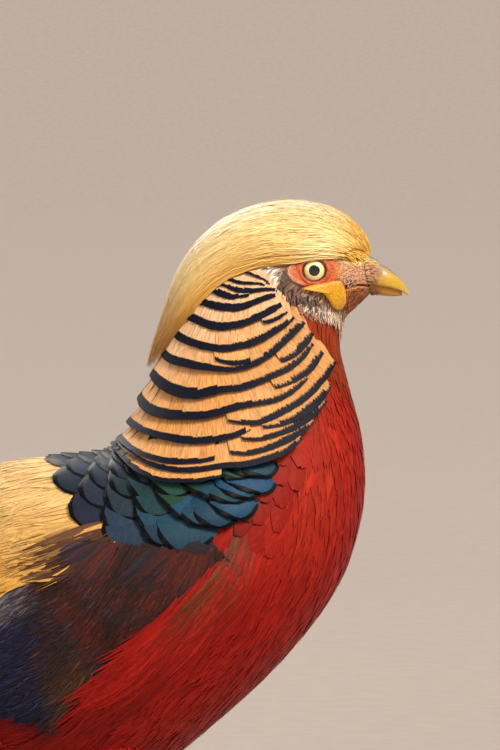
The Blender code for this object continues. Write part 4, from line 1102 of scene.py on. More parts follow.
def build_shoulder(draw):
    """Rounded scarlet feathers with dark edges between the mantle and the breast."""
    look = plumage(
        "shoulder_vane", 0.5, 35.0, 1.3, 0.35, mark=(0.035, 0.008, 0.006), ragged=1.5, sheen=0.0,
        specular=0.12,
    )
    share = np.array([0, 0.35, 0.6, 0.78, 0.9, 0.97, 1.0])
    tips = [(t, low + drop) for t, low in SHOULDER_ROWS for drop in (0, 8, 16)]
    tips = [(t, a, side) for t, a in tips for side in (-1, 1)]
    tips = np.array([(t + draw.uniform(-0.1, 0.1), side * (a + draw.uniform(-2, 2))) for t, a, side in tips])
    start = tips + columns(1.3, -4.0 * np.sign(tips[:, 1]))
    middle, out = lay(TRUNK, start, tips, share, -1.6 + 2.2 * share**0.8)
    half = draw.uniform(5.0, 6.5, (len(tips), 1)) * outline(SHOULDER_SHAPE, share)
    dark = np.clip((np.abs(tips[:, 1]) - 91) / 18, 0, 1)[:, None, None]

    def edge_mark(along, wide, whole, half):
        side_edge = np.abs(wide) - np.maximum(half, 0.1) + 0.5
        edge = np.maximum(along - whole + 1.3, np.where(along > 0.6 * whole, side_edge, -2.0))
        return edge - 1.8 * dark

    shade = washed(scarlet_shade(tips, draw), (0.13, 0.014, 0.008), 0.75 - 0.6 * dark[:, 0, 0], draw, 0.2)
    vanes(
        "shoulder_coat", middle, out, half, BROAD, shade, start, look,
        thick=0.12, camber=0.06, ragged=0.9, seed=13, mark=edge_mark,
    )


def build_scarlet():
    """Breast, belly and flanks: silky scarlet feathers under long fine strands, which sweep over
    the wing's edge."""
    draw = np.random.default_rng(12)
    look = plumage("scarlet_vane", 0.48, 9.0, 1.7, 0.34, sheen=0.0, strength=0.3, specular=0.12)
    zones = (("breast", 8.6, 20.0), ("flank", 4.8, 8.6), ("belly", 0.0, 4.8))
    build_shoulder(draw)
    roots = scatter(0.3, 13.2, in_scarlet, 4.4, 2.5, draw)
    roots = np.concatenate([roots, scatter(13.2, 15.8, in_scarlet, 3.0, 1.7, draw)])
    for name, low, high in zones:
        part = roots[(roots[:, 0] > low) & (roots[:, 0] <= high)]
        small = 0.35 + 0.65 * smooth(15.2, 10.0, part[:, 0])
        wide = 5.4 * (0.45 + 0.55 * smooth(15.2, 10.5, part[:, 0]))
        shade = scarlet_shade(part, draw)
        body_coat(
            name + "_coat", part, draw, 24.0 * small, wide, 0.2, shade, look, under=1.3,
        )
    strands = scatter(0.3, 15.0, in_scarlet, 5.4, 3.0, draw)
    shade = scarlet_shade(strands, draw, 0.12) * 0.95
    small = 0.40 + 0.60 * smooth(14.6, 9.5, strands[:, 0])
    body_coat(
        "breast_strands", strands, draw, 20.0 * small, 0.55 * small, 0.18, shade, look,
        section=STRAND, under=1.2,
    )
    count = WING_EDGE_COUNT
    t = 3.4 + 4.9 * draw.random(count) ** 0.9
    angle = np.interp(t, (3.4, 4.2, 4.8, 5.4, 6.6, 7.6, 8.3), (122, 117, 108, 97, 93, 93, 96))
    angle = angle + 22 * draw.random(count) ** 0.8
    roots = columns(t, angle * draw.choice((-1, 1), count))

    def over_wing(t, angle):
        low = listed(WING_LOW, t)
        return 0.4 + 5.8 * smooth(low + 13, low - 1, angle) * smooth(7.9, 7.1, t)

    shade = scarlet_shade(roots, draw, 0.2)
    rusty = smooth(6.6, 8.0, t) * smooth(22, 4, angle - 90)
    brown = varied((0.11, 0.030, 0.012), draw, count, 0.3)
    shade = blended(shade, brown, rusty * (draw.random(count) < 0.7) * 0.9)
    width = draw.uniform(0.8, 2.2, count)
    body_coat(
        "wing_edge_coat", roots, draw, 34.0, width, over_wing, shade, look, WING_FORM,
        8.0 + 14.0 * smooth(6.0, 5.0, t), STRAND, 0.8,
    )


def build_gold():
    """The back and rump's loose, hair-like golden feathers, fanned over the wings' upper edges."""
    draw = np.random.default_rng(14)
    look = plumage("gold_vane", 0.55, 7.0, 1.1, 0.42, sheen=0.0, strength=0.25, specular=0.15)

    def inside(t, angle):
        angle = np.abs(angle)
        return (t < 5.75) & (angle < np.interp(t, (0, 1, 3, 4.4, 5.0, 5.75), (95, 74, 70, 66, 65, 67)))

    def over_wing(t, angle):
        return 3.0 + 2.6 * smooth(48, 62, angle) * smooth(0.6, 1.4, t)

    for name, gap, width, long, section, spread, top in (
        ("gold_coat", (4.2, 2.4), 4.6, 26.0, LEAF, 0.08, 0.0),
        ("gold_strands", (3.2, 2.2), 0.6, 32.0, STRAND, 0.16, 0.2),
    ):
        roots = scatter(0.1, 5.75, inside, *gap, draw)
        shade = varied(BACK_GOLD, draw, len(roots), spread, 0.03)
        # Paler towards the spine: partly the feathers' own colour and partly a painted highlight.
        pale = smooth(72, 20, np.abs(roots[:, 1])) * 0.8 + 0.3 * draw.random(len(roots))
        shade = washed(shade, PALE_BACK, np.minimum(pale, 1), draw, 0.05)
        if section is STRAND:
            shade = shade * np.where(draw.random(len(roots)) < 0.15, 0.6, 1.0)[:, None]
        rusty = smooth(5.15, 5.45, roots[:, 0]) * smooth(48, 56, np.abs(roots[:, 1]))
        brown = varied((0.085, 0.030, 0.014), draw, len(roots), 0.3)
        shade = blended(shade, brown, rusty * (draw.random(len(roots)) < 0.85))
        body_coat(
            name, roots, draw, long, width, lambda t, angle: over_wing(t, angle) + top, shade, look,
            TRUNK, 5.0, section, 2.4,
        )
    build_rump_fringe(draw, look)


def build_rump_fringe(draw, look):
    """Longer feathers at the rump's end, laid over the tail's root."""
    count = FRINGE_COUNT
    share = np.array([0, 0.25, 0.5, 0.75, 0.9, 1.0])
    t = 0.05 + 1.3 * draw.random(count) ** 1.2
    angle = draw.uniform(-118, 118, count)
    base = on_form(TRUNK, t, angle)
    out = form_out(TRUNK, t, angle)
    stump = on_form(TRUNK, np.zeros(count), angle)
    centre = stump.mean(axis=0)
    long = draw.uniform(20.0, 38.0, count) * (1 - 0.3 * np.abs(angle) / 118)
    slope = math.radians(8.0)
    back = np.array([-math.cos(slope), 0.0, -math.sin(slope)])
    end = centre + (stump - centre) * draw.uniform(0.55, 0.95, count)[:, None] + back * long[:, None]
    middle = base[:, None] + (end - base)[:, None] * share[None, :, None]
    bow = 2.6 * np.sin(np.minimum(share * 1.25, 1) * math.pi) + 1.6 * (1 - share) + 0.8
    middle = middle + out[:, None] * bow[None, :, None]
    outs = np.broadcast_to(out[:, None], middle.shape)
    half = draw.uniform(0.7, 1.5, count)[:, None] * outline(PLUME, share)
    # Paler towards the spine: partly the feathers' own colour and partly a painted highlight.
    pale = np.minimum(smooth(72, 20, np.abs(angle)) * 0.8 + 0.3 * draw.random(count), 1)
    shade = blended(varied(BACK_GOLD, draw, count, 0.12), varied(PALE_BACK, draw, count, 0.05), pale)
    shade = blended(shade, (0.36, 0.10, 0.020), smooth(60, 110, np.abs(angle)))
    root = columns(t, angle)
    vanes(
        "rump_fringe", middle, outs, half, LEAF, shade, root, look, (), 0.12, 0.08,
        seed=15,
    )


def build_face_coat():
    """Tiny feathers on the cheeks, ear coverts, chin and lores, left off round the eye."""
    draw = np.random.default_rng(16)

    def inside(t, angle):
        base = on_form(TRUNK, t, angle)
        x, z = base[..., 0], base[..., 2]
        angle = np.abs(angle)
        crest = angle < listed(CREST_EDGE, t) - 6
        cape = (t < 15.9) & (angle < cape_front(t) - 4)
        patch = (blob(x, z, *EYE_PATCH) < 0.98) & (angle < 140)
        mouth = (mouth_distance(x, z) < 0.8) & (x > 99)
        return (t > 14.75 + 0.85 * smooth(132, 156, angle)) & ~crest & ~cape & ~patch & ~mouth & (t < 20.9)

    roots = scatter(13.6, 20.9, inside, 1.0, 0.95, draw)
    base = on_form(TRUNK, roots[:, 0], roots[:, 1])
    x, z = base[:, 0], base[:, 2]
    shade = face_colour(x, z) * np.clip(1 + draw.normal(0, 0.25, (len(roots), 1)), 0.4, 1.6)
    ear = smooth(1.1, 0.7, blob(x, z, 300, 291, 36, 11, -38))
    black = (draw.random(len(roots)) < 0.15) * ear
    shade = blended(shade, (0.008, 0.006, 0.006), black * 0.8)
    red = smooth(15.4, 15.05, roots[:, 0] - 0.6 * smooth(138, 160, np.abs(roots[:, 1])))
    shade = blended(shade, varied(RUSTY_RED, draw, len(roots), 0.2), red * 0.6)
    look = plumage("face_vane", 0.55, 20.0, 1.0, 0.3, sheen=0.1)
    count = len(roots)
    size = 0.55 + 0.45 * smooth(20.5, 16.0, roots[:, 0])
    lores = smooth(1.15, 0.8, blob(x, z, 360, 272, 22, 17))
    size = size * (1 - 0.3 * lores) * (1 - 0.5 * smooth(16.2, 15.0, roots[:, 0]))
    share = np.array([0, 0.5, 1.0])
    step = 4.6 * size * draw.uniform(0.7, 1.3, count) / station_length(roots[:, 0], roots[:, 1])
    end = roots.copy()
    end[:, 0] -= step
    end[:, 1] += np.sign(roots[:, 1]) * 3.0 + draw.normal(0, 3.0, count)
    high = -0.9 + (1.5 * size * draw.uniform(0.7, 1.3, count))[:, None] * share**0.7
    middle, out = lay(TRUNK, roots, end, share, high)
    half = (0.62 * size * draw.uniform(0.7, 1.2, count))[:, None] * outline((0.8, 1.0, 0.15), share)
    shade = np.clip(shade, 0, 1)
    vanes("face_coat", middle, out, half, STRAND, shade, roots, look, (), 0.22, 0.1, seed=17)
    build_bristles(draw, look)


def build_bristles(draw, look):
    """Fine bristles that point forward over the bill's root and down from the chin."""
    count = BRISTLE_COUNT
    share = np.array([0, 0.4, 0.75, 1.0])
    t = draw.uniform(20.2, 20.97, count)
    angle = draw.uniform(42, 180, count) * draw.choice((-1, 1), count)
    base = on_form(TRUNK, t, angle)
    mouth = mouth_distance(base[:, 0], base[:, 2]) > 1.3
    t, angle, base = t[mouth], angle[mouth], base[mouth]
    count = len(t)
    out = form_out(TRUNK, t, angle)
    long = draw.uniform(1.8, 4.2, count) * smooth(19.9, 20.7, t)
    chin = smooth(120, 160, np.abs(angle))
    way = columns(0.95, draw.normal(0, 0.12, count), draw.normal(-0.10, 0.12, count))
    way = unit(way + out * (-0.10 + 0.45 * chin[:, None]))
    middle = base[:, None] + out[:, None] * (0.1 + 0.55 * np.sin(share * 2.4))[None, :, None]
    middle = middle + way[:, None] * (long[:, None] * share)[:, :, None]
    outs = np.broadcast_to(out[:, None], middle.shape)
    half = draw.uniform(0.09, 0.20, count)[:, None] * outline((1.0, 0.9, 0.6, 0.1), share)
    shade = face_colour(base[:, 0], base[:, 2]) * np.clip(1 + draw.normal(0, 0.3, (count, 1)), 0.3, 1.6)
    vanes(
        "bill_bristles", middle, outs, half, STRAND, np.clip(shade, 0, 1), columns(t, angle), look,
        (), 0.1, 0.1, seed=18,
    )


def tubes_piece(name, tubes, look, nodes=()):
    """Capped tubes in one piece, each through rings of points and with its own tint."""
    points, loops, starts, tints = [], [], [], []
    for rings, tint in tubes:
        rings = np.asarray(rings, float)
        tint = np.broadcast_to(tint, rings.shape)
        middle = rings.mean(axis=1)
        arms = rings[1] - middle[1]
        turning = np.cross(arms, np.roll(arms, -1, axis=0)).sum(axis=0)
        if (turning * (middle[-1] - middle[0])).sum() < 0:
            rings, tint = rings[:, ::-1], tint[:, ::-1]
        these_loops, these_starts = ring_loops(1, *rings.shape[:2])
        starts.append(these_starts + sum(len(v) for v in loops))
        loops.append(these_loops + sum(len(v) for v in points))
        points.append(rings.reshape(-1, 3))
        tints.append(tint.reshape(-1, 3))
    return new_piece(
        name, np.concatenate(points), np.concatenate(loops), np.concatenate(starts), np.concatenate(tints),
        look, nodes,
    )


def closed_ring_piece(name, rings, tint, look, nodes=()):
    """A capped tube through rings of points."""
    return tubes_piece(name, [(rings, tint)], look, nodes)


LAPPET = (
    (81.0, 318.2), (84.8, 319.5), (89.9, 320.4), (93.7, 321.2), (96.6, 321.1), (98.1, 318.4),
    (98.8, 315.1), (98.6, 311.9), (97.4, 309.8), (95.6, 309.2), (93.7, 310.2), (91.9, 313.0),
    (89.9, 315.7), (87.2, 317.2), (83.5, 317.7),
)
LAPPET_MIDDLE = (94.0, 315.5)
# Rings of the lappet: share of the way from its middle to its rim, and height off the cheek.
LAPPET_RINGS = (
    (0.55, 0.2), (0.85, 0.25), (1.0, 0.7), (1.03, 1.3), (0.97, 1.9), (0.84, 2.35), (0.62, 2.65),
    (0.4, 2.8), (0.2, 2.85),
)


def closed_curve(points, count):
    """A smooth closed curve through points."""
    points = np.array(points, float)
    wrapped = np.concatenate([points[-2:], points, points[:3]])
    return rows_at(wrapped, 2 + np.arange(count) * len(points) / count)


def build_lappets():
    """The orange-yellow fold of bare skin below each eye."""
    look = bare_skin("lappet_skin", 0.42, 1400.0, 0.00025, 0.2, 0.25, 0.25)
    rim = closed_curve(LAPPET, 90)
    middle = np.array(LAPPET_MIDDLE)
    for side, name in SIDES:
        rings, tints = [], []
        for share, lift in LAPPET_RINGS:
            x, z = (middle + (rim - middle) * share).T
            folds = 0.09 * np.sin(x * 7.0) * smooth(0.95, 0.5, share)
            rings.append(columns(x, side * (face_side(x, z) + lift + folds), z))
            tints.append(blended((0.86, 0.33, 0.010), (0.90, 0.46, 0.008), smooth(320.0, 316.0, z)))
        closed_ring_piece("lappet_fold_" + name, rings, np.array(tints), look, ("lappet_" + name,))


# Rings of the bill's halves: x, height of the ridge above or of the mouth's line below, height of
# the other edge, and half width.
UPPER_BILL = (
    (108.8, 331.6, 319.2, 5.9),
    (110.4, 330.8, 319.0, 5.4),
    (113.6, 328.3, 318.5, 4.7),
    (116.5, 326.5, 318.1, 4.1),
    (119.4, 324.3, 317.4, 3.3),
    (122.1, 321.7, 316.6, 2.3),
    (124.2, 318.9, 315.4, 1.2),
    (125.3, 316.6, 314.7, 0.4),
)
LOWER_BILL = (
    (108.8, 319.6, 315.6, 4.4),
    (110.6, 319.4, 315.5, 3.9),
    (114.0, 318.9, 314.9, 3.2),
    (117.5, 318.3, 314.6, 2.5),
    (120.6, 317.5, 314.6, 1.6),
    (122.6, 316.8, 314.9, 0.5),
)


def bill_rings(rows, count, turn):
    """The x and y of half a bill's rings, and the heights of their first and second edges."""
    row = traced(rows, count)
    return row[:, :1] + 0 * turn, row[:, 3:] * np.cos(turn), row[:, 1:2], row[:, 2:3]


def build_bill():
    """The closed bill: yellow horn with a grey-blue ridge, and a flap over each nostril."""
    look = horn("bill_horn", 0.32, 0.35)
    turn = np.radians(np.linspace(0, 180, 40))
    x, y, ridge_z, edge_z = bill_rings(UPPER_BILL, 60, turn)
    z = edge_z + (ridge_z - edge_z) * np.sin(turn) ** 0.75
    along, down = (x - 111.4) * 0.77 - (z - 326.0) * 0.64, (x - 111.4) * 0.64 + (z - 326.0) * 0.77
    flap = smooth(1.25, 0.75, np.hypot(along / 2.9, down / 1.5))
    slit = smooth(1.5, 0.5, np.hypot(along / 2.6, (down + 1.7) / 0.45))
    ridge = np.sin(turn)[None] + 0 * x
    colour = layered(
        (0.56, 0.33, 0.020),
        ((0.46, 0.33, 0.11), smooth(0.30, 0.62, ridge) * smooth(121, 113, x)),
        ((0.20, 0.19, 0.18), smooth(0.78, 0.95, ridge) * smooth(124.5, 118, x)),
        ((0.50, 0.40, 0.13), smooth(120.5, 125, x) * 0.5),
        ((0.22, 0.10, 0.020), smooth(0.12, 0.02, ridge) * 0.8),
        ((0.36, 0.21, 0.17), flap * 0.9),
        # The dark nostril slit is painted shade in the opening.
        ((0.02, 0.012, 0.010), slit),
    )
    upper = columns(x, y * (1 + 0.16 * flap - 0.16 * slit), z)
    closed_ring_piece("bill_top", upper, colour, look, ("bill_upper",))
    x, y, mouth_z, chin_z = bill_rings(LOWER_BILL, 40, turn)
    lower = columns(x, y, mouth_z - 0.1 + (chin_z - mouth_z) * np.sin(turn) ** 0.75)
    closed_ring_piece("bill_bottom", lower, (0.58, 0.26, 0.018), look, ("bill_lower",))


ARM_REAR, ARM_FRONT = 3.4, 7.0
COVERT_TIERS, SECONDARIES, PRIMARIES = 11, 10, 7
SECONDARY_HALF, PRIMARY_HALF = 7.6, 4.6
PRIMARY_BROWN = (0.060, 0.036, 0.022)


def wing_angle(t, q):
    """Angle at place q of the folded wing, from its upper edge at 0 to its lower one at 1."""
    return listed(WING_TOP, t) + (listed(WING_LOW, t) - listed(WING_TOP, t)) * q


def build_wings():
    """Folded wings: the arm, soft mottled coverts, dark blue secondaries and brown primaries."""
    arm = bare_skin("wing_skin", 0.7, 900.0, 0.0003, 0.3)
    soft = plumage("covert_vane", 0.6, 20.0, 1.1, 0.35, mark=WING_GREY, sheen=0.0, shaft=-0.2, specular=0.12)
    flight = plumage("flight_vane", 0.42, 38.0, 1.3, 0.4, shaft=-0.5, shaft_width=0.5)
    for side, name in SIDES:
        draw = np.random.default_rng(30 + side)
        build_wing_arm(side, name, arm)
        build_coverts(side, name, draw, soft)
        build_flight_feathers(side, name, draw, flight)


def build_wing_arm(side, name, look):
    """The wing's smooth form under its coverts, from the shoulder to the middle."""
    t = np.linspace(ARM_REAR, ARM_FRONT, 60)[:, None]
    q = np.linspace(0.03, 0.97, 40)[None]
    front, rear = np.clip((ARM_FRONT - t) / 1.3, 0, 1), np.clip((t - ARM_REAR) / 2.4, 0, 1)
    high = 0.9 + 2.2 * np.sqrt(front * rear + 0.001) * np.sin(q * math.pi)
    angle = side * wing_angle(t, q)
    top = lifted(WING_FORM, t, angle, high)
    bottom = lifted(WING_FORM, t, angle, 0 * high + 0.6)
    rings = np.concatenate([top, bottom[:, ::-1]], axis=1)
    closed_ring_piece("wing_arm_" + name, rings, WING_BROWN, look, ("wing_" + name,))


def build_coverts(side, name, draw, look):
    """Soft scapulars and coverts in tiers, red-brown with grey-blue and olive patches."""
    share = np.array([0, 0.25, 0.5, 0.7, 0.85, 0.94, 1.0])
    starts, ends, shades, halves, lifts = [], [], [], [], []
    for tier, tip in enumerate(np.linspace(6.6, 3.5, COVERT_TIERS)):
        first = np.interp(tip, (4.3, 4.7, 5.2, 6.0, 6.8), (-0.05, -0.15, -0.45, -0.6, -0.9))
        last = np.interp(tip, (4.3, 5.2, 6.1, 6.6), (0.95, 0.75, 0.5, 0.05))
        count = int(round((last - first) * 7))
        q = first + (last - first) * (np.arange(count) + 0.25 + 0.5 * (tier % 2)) / count
        end_t = tip + draw.uniform(-0.08, 0.08, count) + 0.1 * (1 - q)
        start_t = np.minimum(end_t + 1.1, 7.3 + 0.15 * draw.random(count))
        starts.append(columns(start_t, side * wing_angle(start_t, q * 0.9 + 0.03)))
        ends.append(columns(end_t, side * wing_angle(end_t, np.minimum(q * 1.06, 1))))
        shades.append(wing_mottle(end_t, q, draw))
        halves.append(draw.uniform(6.2, 7.4, count))
        lifts.append(np.full(count, 5.2 - 0.20 * tier) - 1.5 * np.clip(2 * q - 1, -1.3, 1) ** 2)
    start, end = np.concatenate(starts), np.concatenate(ends)
    high = np.concatenate(lifts)[:, None] * (-0.2 + 1.2 * share**0.5)
    middle, out = lay(WING_FORM, start, end, share, high)
    half = np.concatenate(halves)[:, None] * outline(COVERT_SHAPE, share)
    vanes(
        "covert_coat_" + name, middle, out, half, BROAD, np.concatenate(shades), start, look,
        thick=0.2, camber=0.10, ragged=0.8, seed=33,
        mark=lambda along, wide, whole, half: 0.8 * np.sin(along * 0.55 + wide * 0.3) - 1.0,
    )
    count = COVERT_DOWN_COUNT
    t = draw.uniform(3.6, 7.4, count)
    low = np.interp(t, (3.6, 4.6, 5.2, 6.0, 7.0), (-0.05, -0.05, -0.45, -0.6, -0.9))
    high = np.interp(t, (4.6, 5.2, 6.6, 7.4), (0.9, 0.7, 0.5, 0.3))
    q = low + (high - low) * draw.random(count)
    roots = columns(t, side * wing_angle(t, q))
    shade = wing_mottle(t, q, draw)
    body_coat(
        "covert_down_" + name, roots, draw, 16.0, 1.3, lambda t, angle: 5.3 - 0.9 * smooth(5.5, 3.6, t),
        shade, look, WING_FORM, 7.0, STRAND, 1.2,
    )


def wing_mottle(t, q, draw):
    """Red-brown with soft patches of grey-blue, olive and dull red, navy towards the tip."""
    count = len(t)
    patch = np.sin(t * 6.1 + 4 * q) + np.sin(t * 2.7 - 9 * q + 1.0) + 0.8 * np.sin(t * 11 + 13 * q + 2.0)
    patch = patch + draw.normal(0, 0.5, count)
    shade = washed(varied(WING_BROWN, draw, count, 0.2), WING_RED, smooth(-1.2, 1.6, patch), draw, 0.2)
    blue = np.sin(t * 4.3 - 7 * q + 0.5) + draw.normal(0, 0.4, count)
    shade = washed(shade, WING_GREY, smooth(0.1, 1.2, blue) * 0.8, draw, 0.2)
    shade = washed(shade, WING_OLIVE, smooth(0.25, 0.8, q) * smooth(6.2, 4.9, t) * 0.8, draw, 0.2)
    navy = varied(NAVY, draw, count, 0.35, 0.1)
    shade = blended(shade, navy, smooth(4.75, 4.45, t + draw.normal(0, 0.08, count)) * 0.95)
    # A lighter grey patch near the wing's upper edge, towards its tip.
    grey_patch = smooth(4.8, 4.4, t) * smooth(0.16, 0.02, q) * draw.random(count)
    shade = washed(shade, (0.20, 0.165, 0.155), grey_patch, draw, 0.2)
    pale = (draw.random(count) < 0.05)[:, None]
    return np.where(pale, shade * 2.2, shade)


def build_flight_feathers(side, name, draw, look):
    """Dark blue secondaries over the brown primaries, from the wing's arm to its tip."""
    share = np.linspace(0, 1, 30)
    starts, ends, shades, halves, lifts = [], [], [], [], []
    for k in range(SECONDARIES):
        q = 0.02 + 0.095 * k
        starts.append((5.2, side * wing_angle(5.2, q)))
        ends.append((1.0 - 0.06 * k + 0.05 * (k % 2), side * wing_angle(1.0, q * 0.98)))
        shades.append(varied(NAVY, draw, 1, 0.30, 0.08)[0] * 1.25)
        halves.append(SECONDARY_HALF)
        lifts.append((2.9, 3.4 - 0.12 * k))
    for k in range(PRIMARIES):
        q = 0.46 + 0.075 * k
        starts.append((3.4, side * wing_angle(3.4, q)))
        ends.append((0.02 + 0.16 * k, side * wing_angle(0.3, 0.54 + 0.07 * k)))
        shades.append(varied(PRIMARY_BROWN, draw, 1, 0.15, 0.05)[0])
        halves.append(PRIMARY_HALF)
        lifts.append((1.0, 1.4 - 0.08 * k))
    start, end = np.array(starts), np.array(ends)
    lifts = np.array(lifts)
    high = lifts[:, :1] + (lifts[:, 1:] - lifts[:, :1]) * share
    middle, out = lay(WING_FORM, start, end, share, high)
    half = np.array(halves)[:, None] * outline(FLIGHT_SHAPE, share)
    half = half * (1 - 0.06 * draw.random(half.shape))
    vanes(
        "flight_coat_" + name, middle, out, half, BROAD, np.array(shades), start, look,
        thick=0.25, camber=0.10, ragged=1.0, seed=35, patch=0.006,
        mark=lambda along, wide, whole, half: np.maximum(
            0.6 * np.sin(along * 0.9 + wide * 0.5) - 0.9, np.abs(wide) - half + 1.2,
        ),
    )


TAIL_START = (-150.9, 177.5)
TAIL_SLOPES = (6.0, 15.5)
TAIL_LENGTH, TAIL_VAULT = 700.0, 78.0
# Lengths of the tail's feathers, a pair each.
TAIL_LENGTHS = (690, 560, 468, 392, 326, 272, 228, 194, 168)
# The fleshy base: place along the tail, half width and half height.
TAIL_BASE = ((-6, 10, 7.6), (0.6, 10.5, 8.0), (8, 11.5, 8.4), (18, 9.5, 7.6), (26, 5.5, 4.6))
RECTRIX = (0.5, 1.0, 0.97, 0.85, 0.62, 0.12)
CINNAMON = (0.34, 0.155, 0.050)
TAIL_BLACK = (0.014, 0.010, 0.009)


def tail_point(along, across, lift):
    """A point of the vaulted tail: along its length, across it, and lifted off it."""
    along, across, lift = np.broadcast_arrays(*(np.asarray(v, float) for v in (along, across, lift)))
    first, last = (math.radians(a) for a in TAIL_SLOPES)
    bend = (last - first) / TAIL_LENGTH
    slope = first + bend * along
    x = TAIL_START[0] - (np.sin(slope) - math.sin(first)) / bend
    z = TAIL_START[1] + (np.cos(slope) - math.cos(first)) / bend
    roll = across / TAIL_VAULT
    radius = TAIL_VAULT + lift
    out = radius * np.cos(roll) - TAIL_VAULT
    return columns(x + out * np.sin(slope), radius * np.sin(roll), z + out * np.cos(slope))


def tail_lines(length, inner, outer, lift, share, first=0.0):
    """Centre lines on the tail from first to length along it, and the way out of it."""
    length, inner, outer = (np.asarray(v, float)[:, None] for v in (length, inner, outer))
    along = first + (length - first) * share
    across = inner + (outer - inner) * share
    middle = tail_point(along, across, lift)
    return middle, unit(tail_point(along, across, np.asarray(lift) + 1.0) - middle)


def build_tail():
    """Eighteen graded tail feathers under narrow scarlet coverts, round a short base."""
    rings = []
    turn = np.linspace(0, 2 * math.pi, 40, endpoint=False)
    for along, wide, high in TAIL_BASE:
        rings.append(tail_point(along, wide * np.sin(turn), high * np.cos(turn) - 9))
    base = bare_skin("tail_skin", 0.7, 900.0, 0.0003, 0.3)
    closed_ring_piece("tail_base", rings, CHESTNUT, base, ("tail",))
    build_rectrices()
    build_tail_coverts()


def build_rectrices():
    """The eighteen tail feathers, in pairs from the longest to the shortest."""
    spotted = tail_look("central_vane", True)
    barred = tail_look("barred_vane", False)
    share = np.linspace(0, 1, 170)
    pair = np.repeat(np.arange(len(TAIL_LENGTHS)), 2)
    side = np.tile((-1, 1), len(TAIL_LENGTHS))
    length = np.array(TAIL_LENGTHS, float)[pair]
    level = -1.2 - (2 * pair + (side > 0)) * 1.1
    inner = side * (1 + 0.75 * pair)
    outer = side * (3 + 20 * (pair / 8) ** 0.8 + 2.2 * pair)
    middle, out = tail_lines(length, inner, outer, level[:, None] + 0 * share, share)
    half = (18 * (1 - 0.03 * pair))[:, None] * outline(RECTRIX, share)
    draw = np.random.default_rng(40)
    nick = draw.random(half.shape) < 0.06
    half = half * (1 - 0.05 * draw.random(half.shape) - 0.10 * nick)
    root = columns(0.1, side * (4 + 3.0 * pair))
    for name, keep, look in (
        ("central_rectrices", pair == 0, spotted), ("side_rectrices", pair > 0, barred),
    ):
        shade = varied((1.0, 1.0, 1.0), draw, keep.sum(), 0.08, 0.02)
        vanes(
            name, middle[keep], out[keep], half[keep], BROAD, shade, root[keep], look,
            thick=0.3, camber=0.115, ragged=0.5, seed=41, patch=0.02,
        )


def tail_look(name, spotted):
    """Tail vanes, black-brown with cinnamon spots or cinnamon with slanting black bars."""
    made, tree, shader = new_material(name)
    across, along, chance = lie_parts(tree)

    def times(value, factor):
        return math_node(tree, "MULTIPLY", value, factor)

    wide = math_node(tree, "ABSOLUTE", across)
    barbs = math_node(tree, "MULTIPLY_ADD", wide, -1.1, along)
    spot = vector_node(tree, times(barbs, 1.2), times(across, 0.08), times(chance, FEATHER_SHIFT))
    streak = noise_node(tree, spot, 1.6, 4.0, 0.7)
    shake = math_node(tree, "MULTIPLY_ADD", streak, 2.4, barbs)
    onward = times(along if spotted else shake, 0.14)
    where = vector_node(tree, onward, times(across, 0.17), times(chance, 9.0))
    if spotted:
        cells = node(tree, "TexVoronoi", {"Vector": where, "Scale": 1.0}, feature="F1")
        value = math_node(tree, "MULTIPLY_ADD", streak, 0.16, cells.outputs["Distance"])
        pattern = ramp_node(tree, value, 0.50, 0.40)
    else:
        bars = math_node(tree, "SUBTRACT", math_node(tree, "SINE", times(shake, 0.62)), 0.8)
        value = math_node(tree, "MULTIPLY_ADD", noise_node(tree, where, 0.9, 2.0), 1.6, bars)
        pattern = ramp_node(tree, value, 0.12, -0.12)
    colour = mix_node(tree, pattern, TAIL_BLACK, CINNAMON)
    colour = shaded(tree, colour, ramp_node(tree, streak, 0.25, 0.75, 0.7, 1.25))
    line = ramp_node(tree, wide, 0.9, 0.3)
    colour = mix_node(tree, line, colour, (0.030, 0.016, 0.010))
    feed(tree, shader, {"Base Color": colour, "Roughness": 0.5, "Specular IOR Level": 0.15})
    bump_node(tree, math_node(tree, "MULTIPLY_ADD", line, 1.5, streak), 0.4, VANE_RELIEF, shader)
    return made


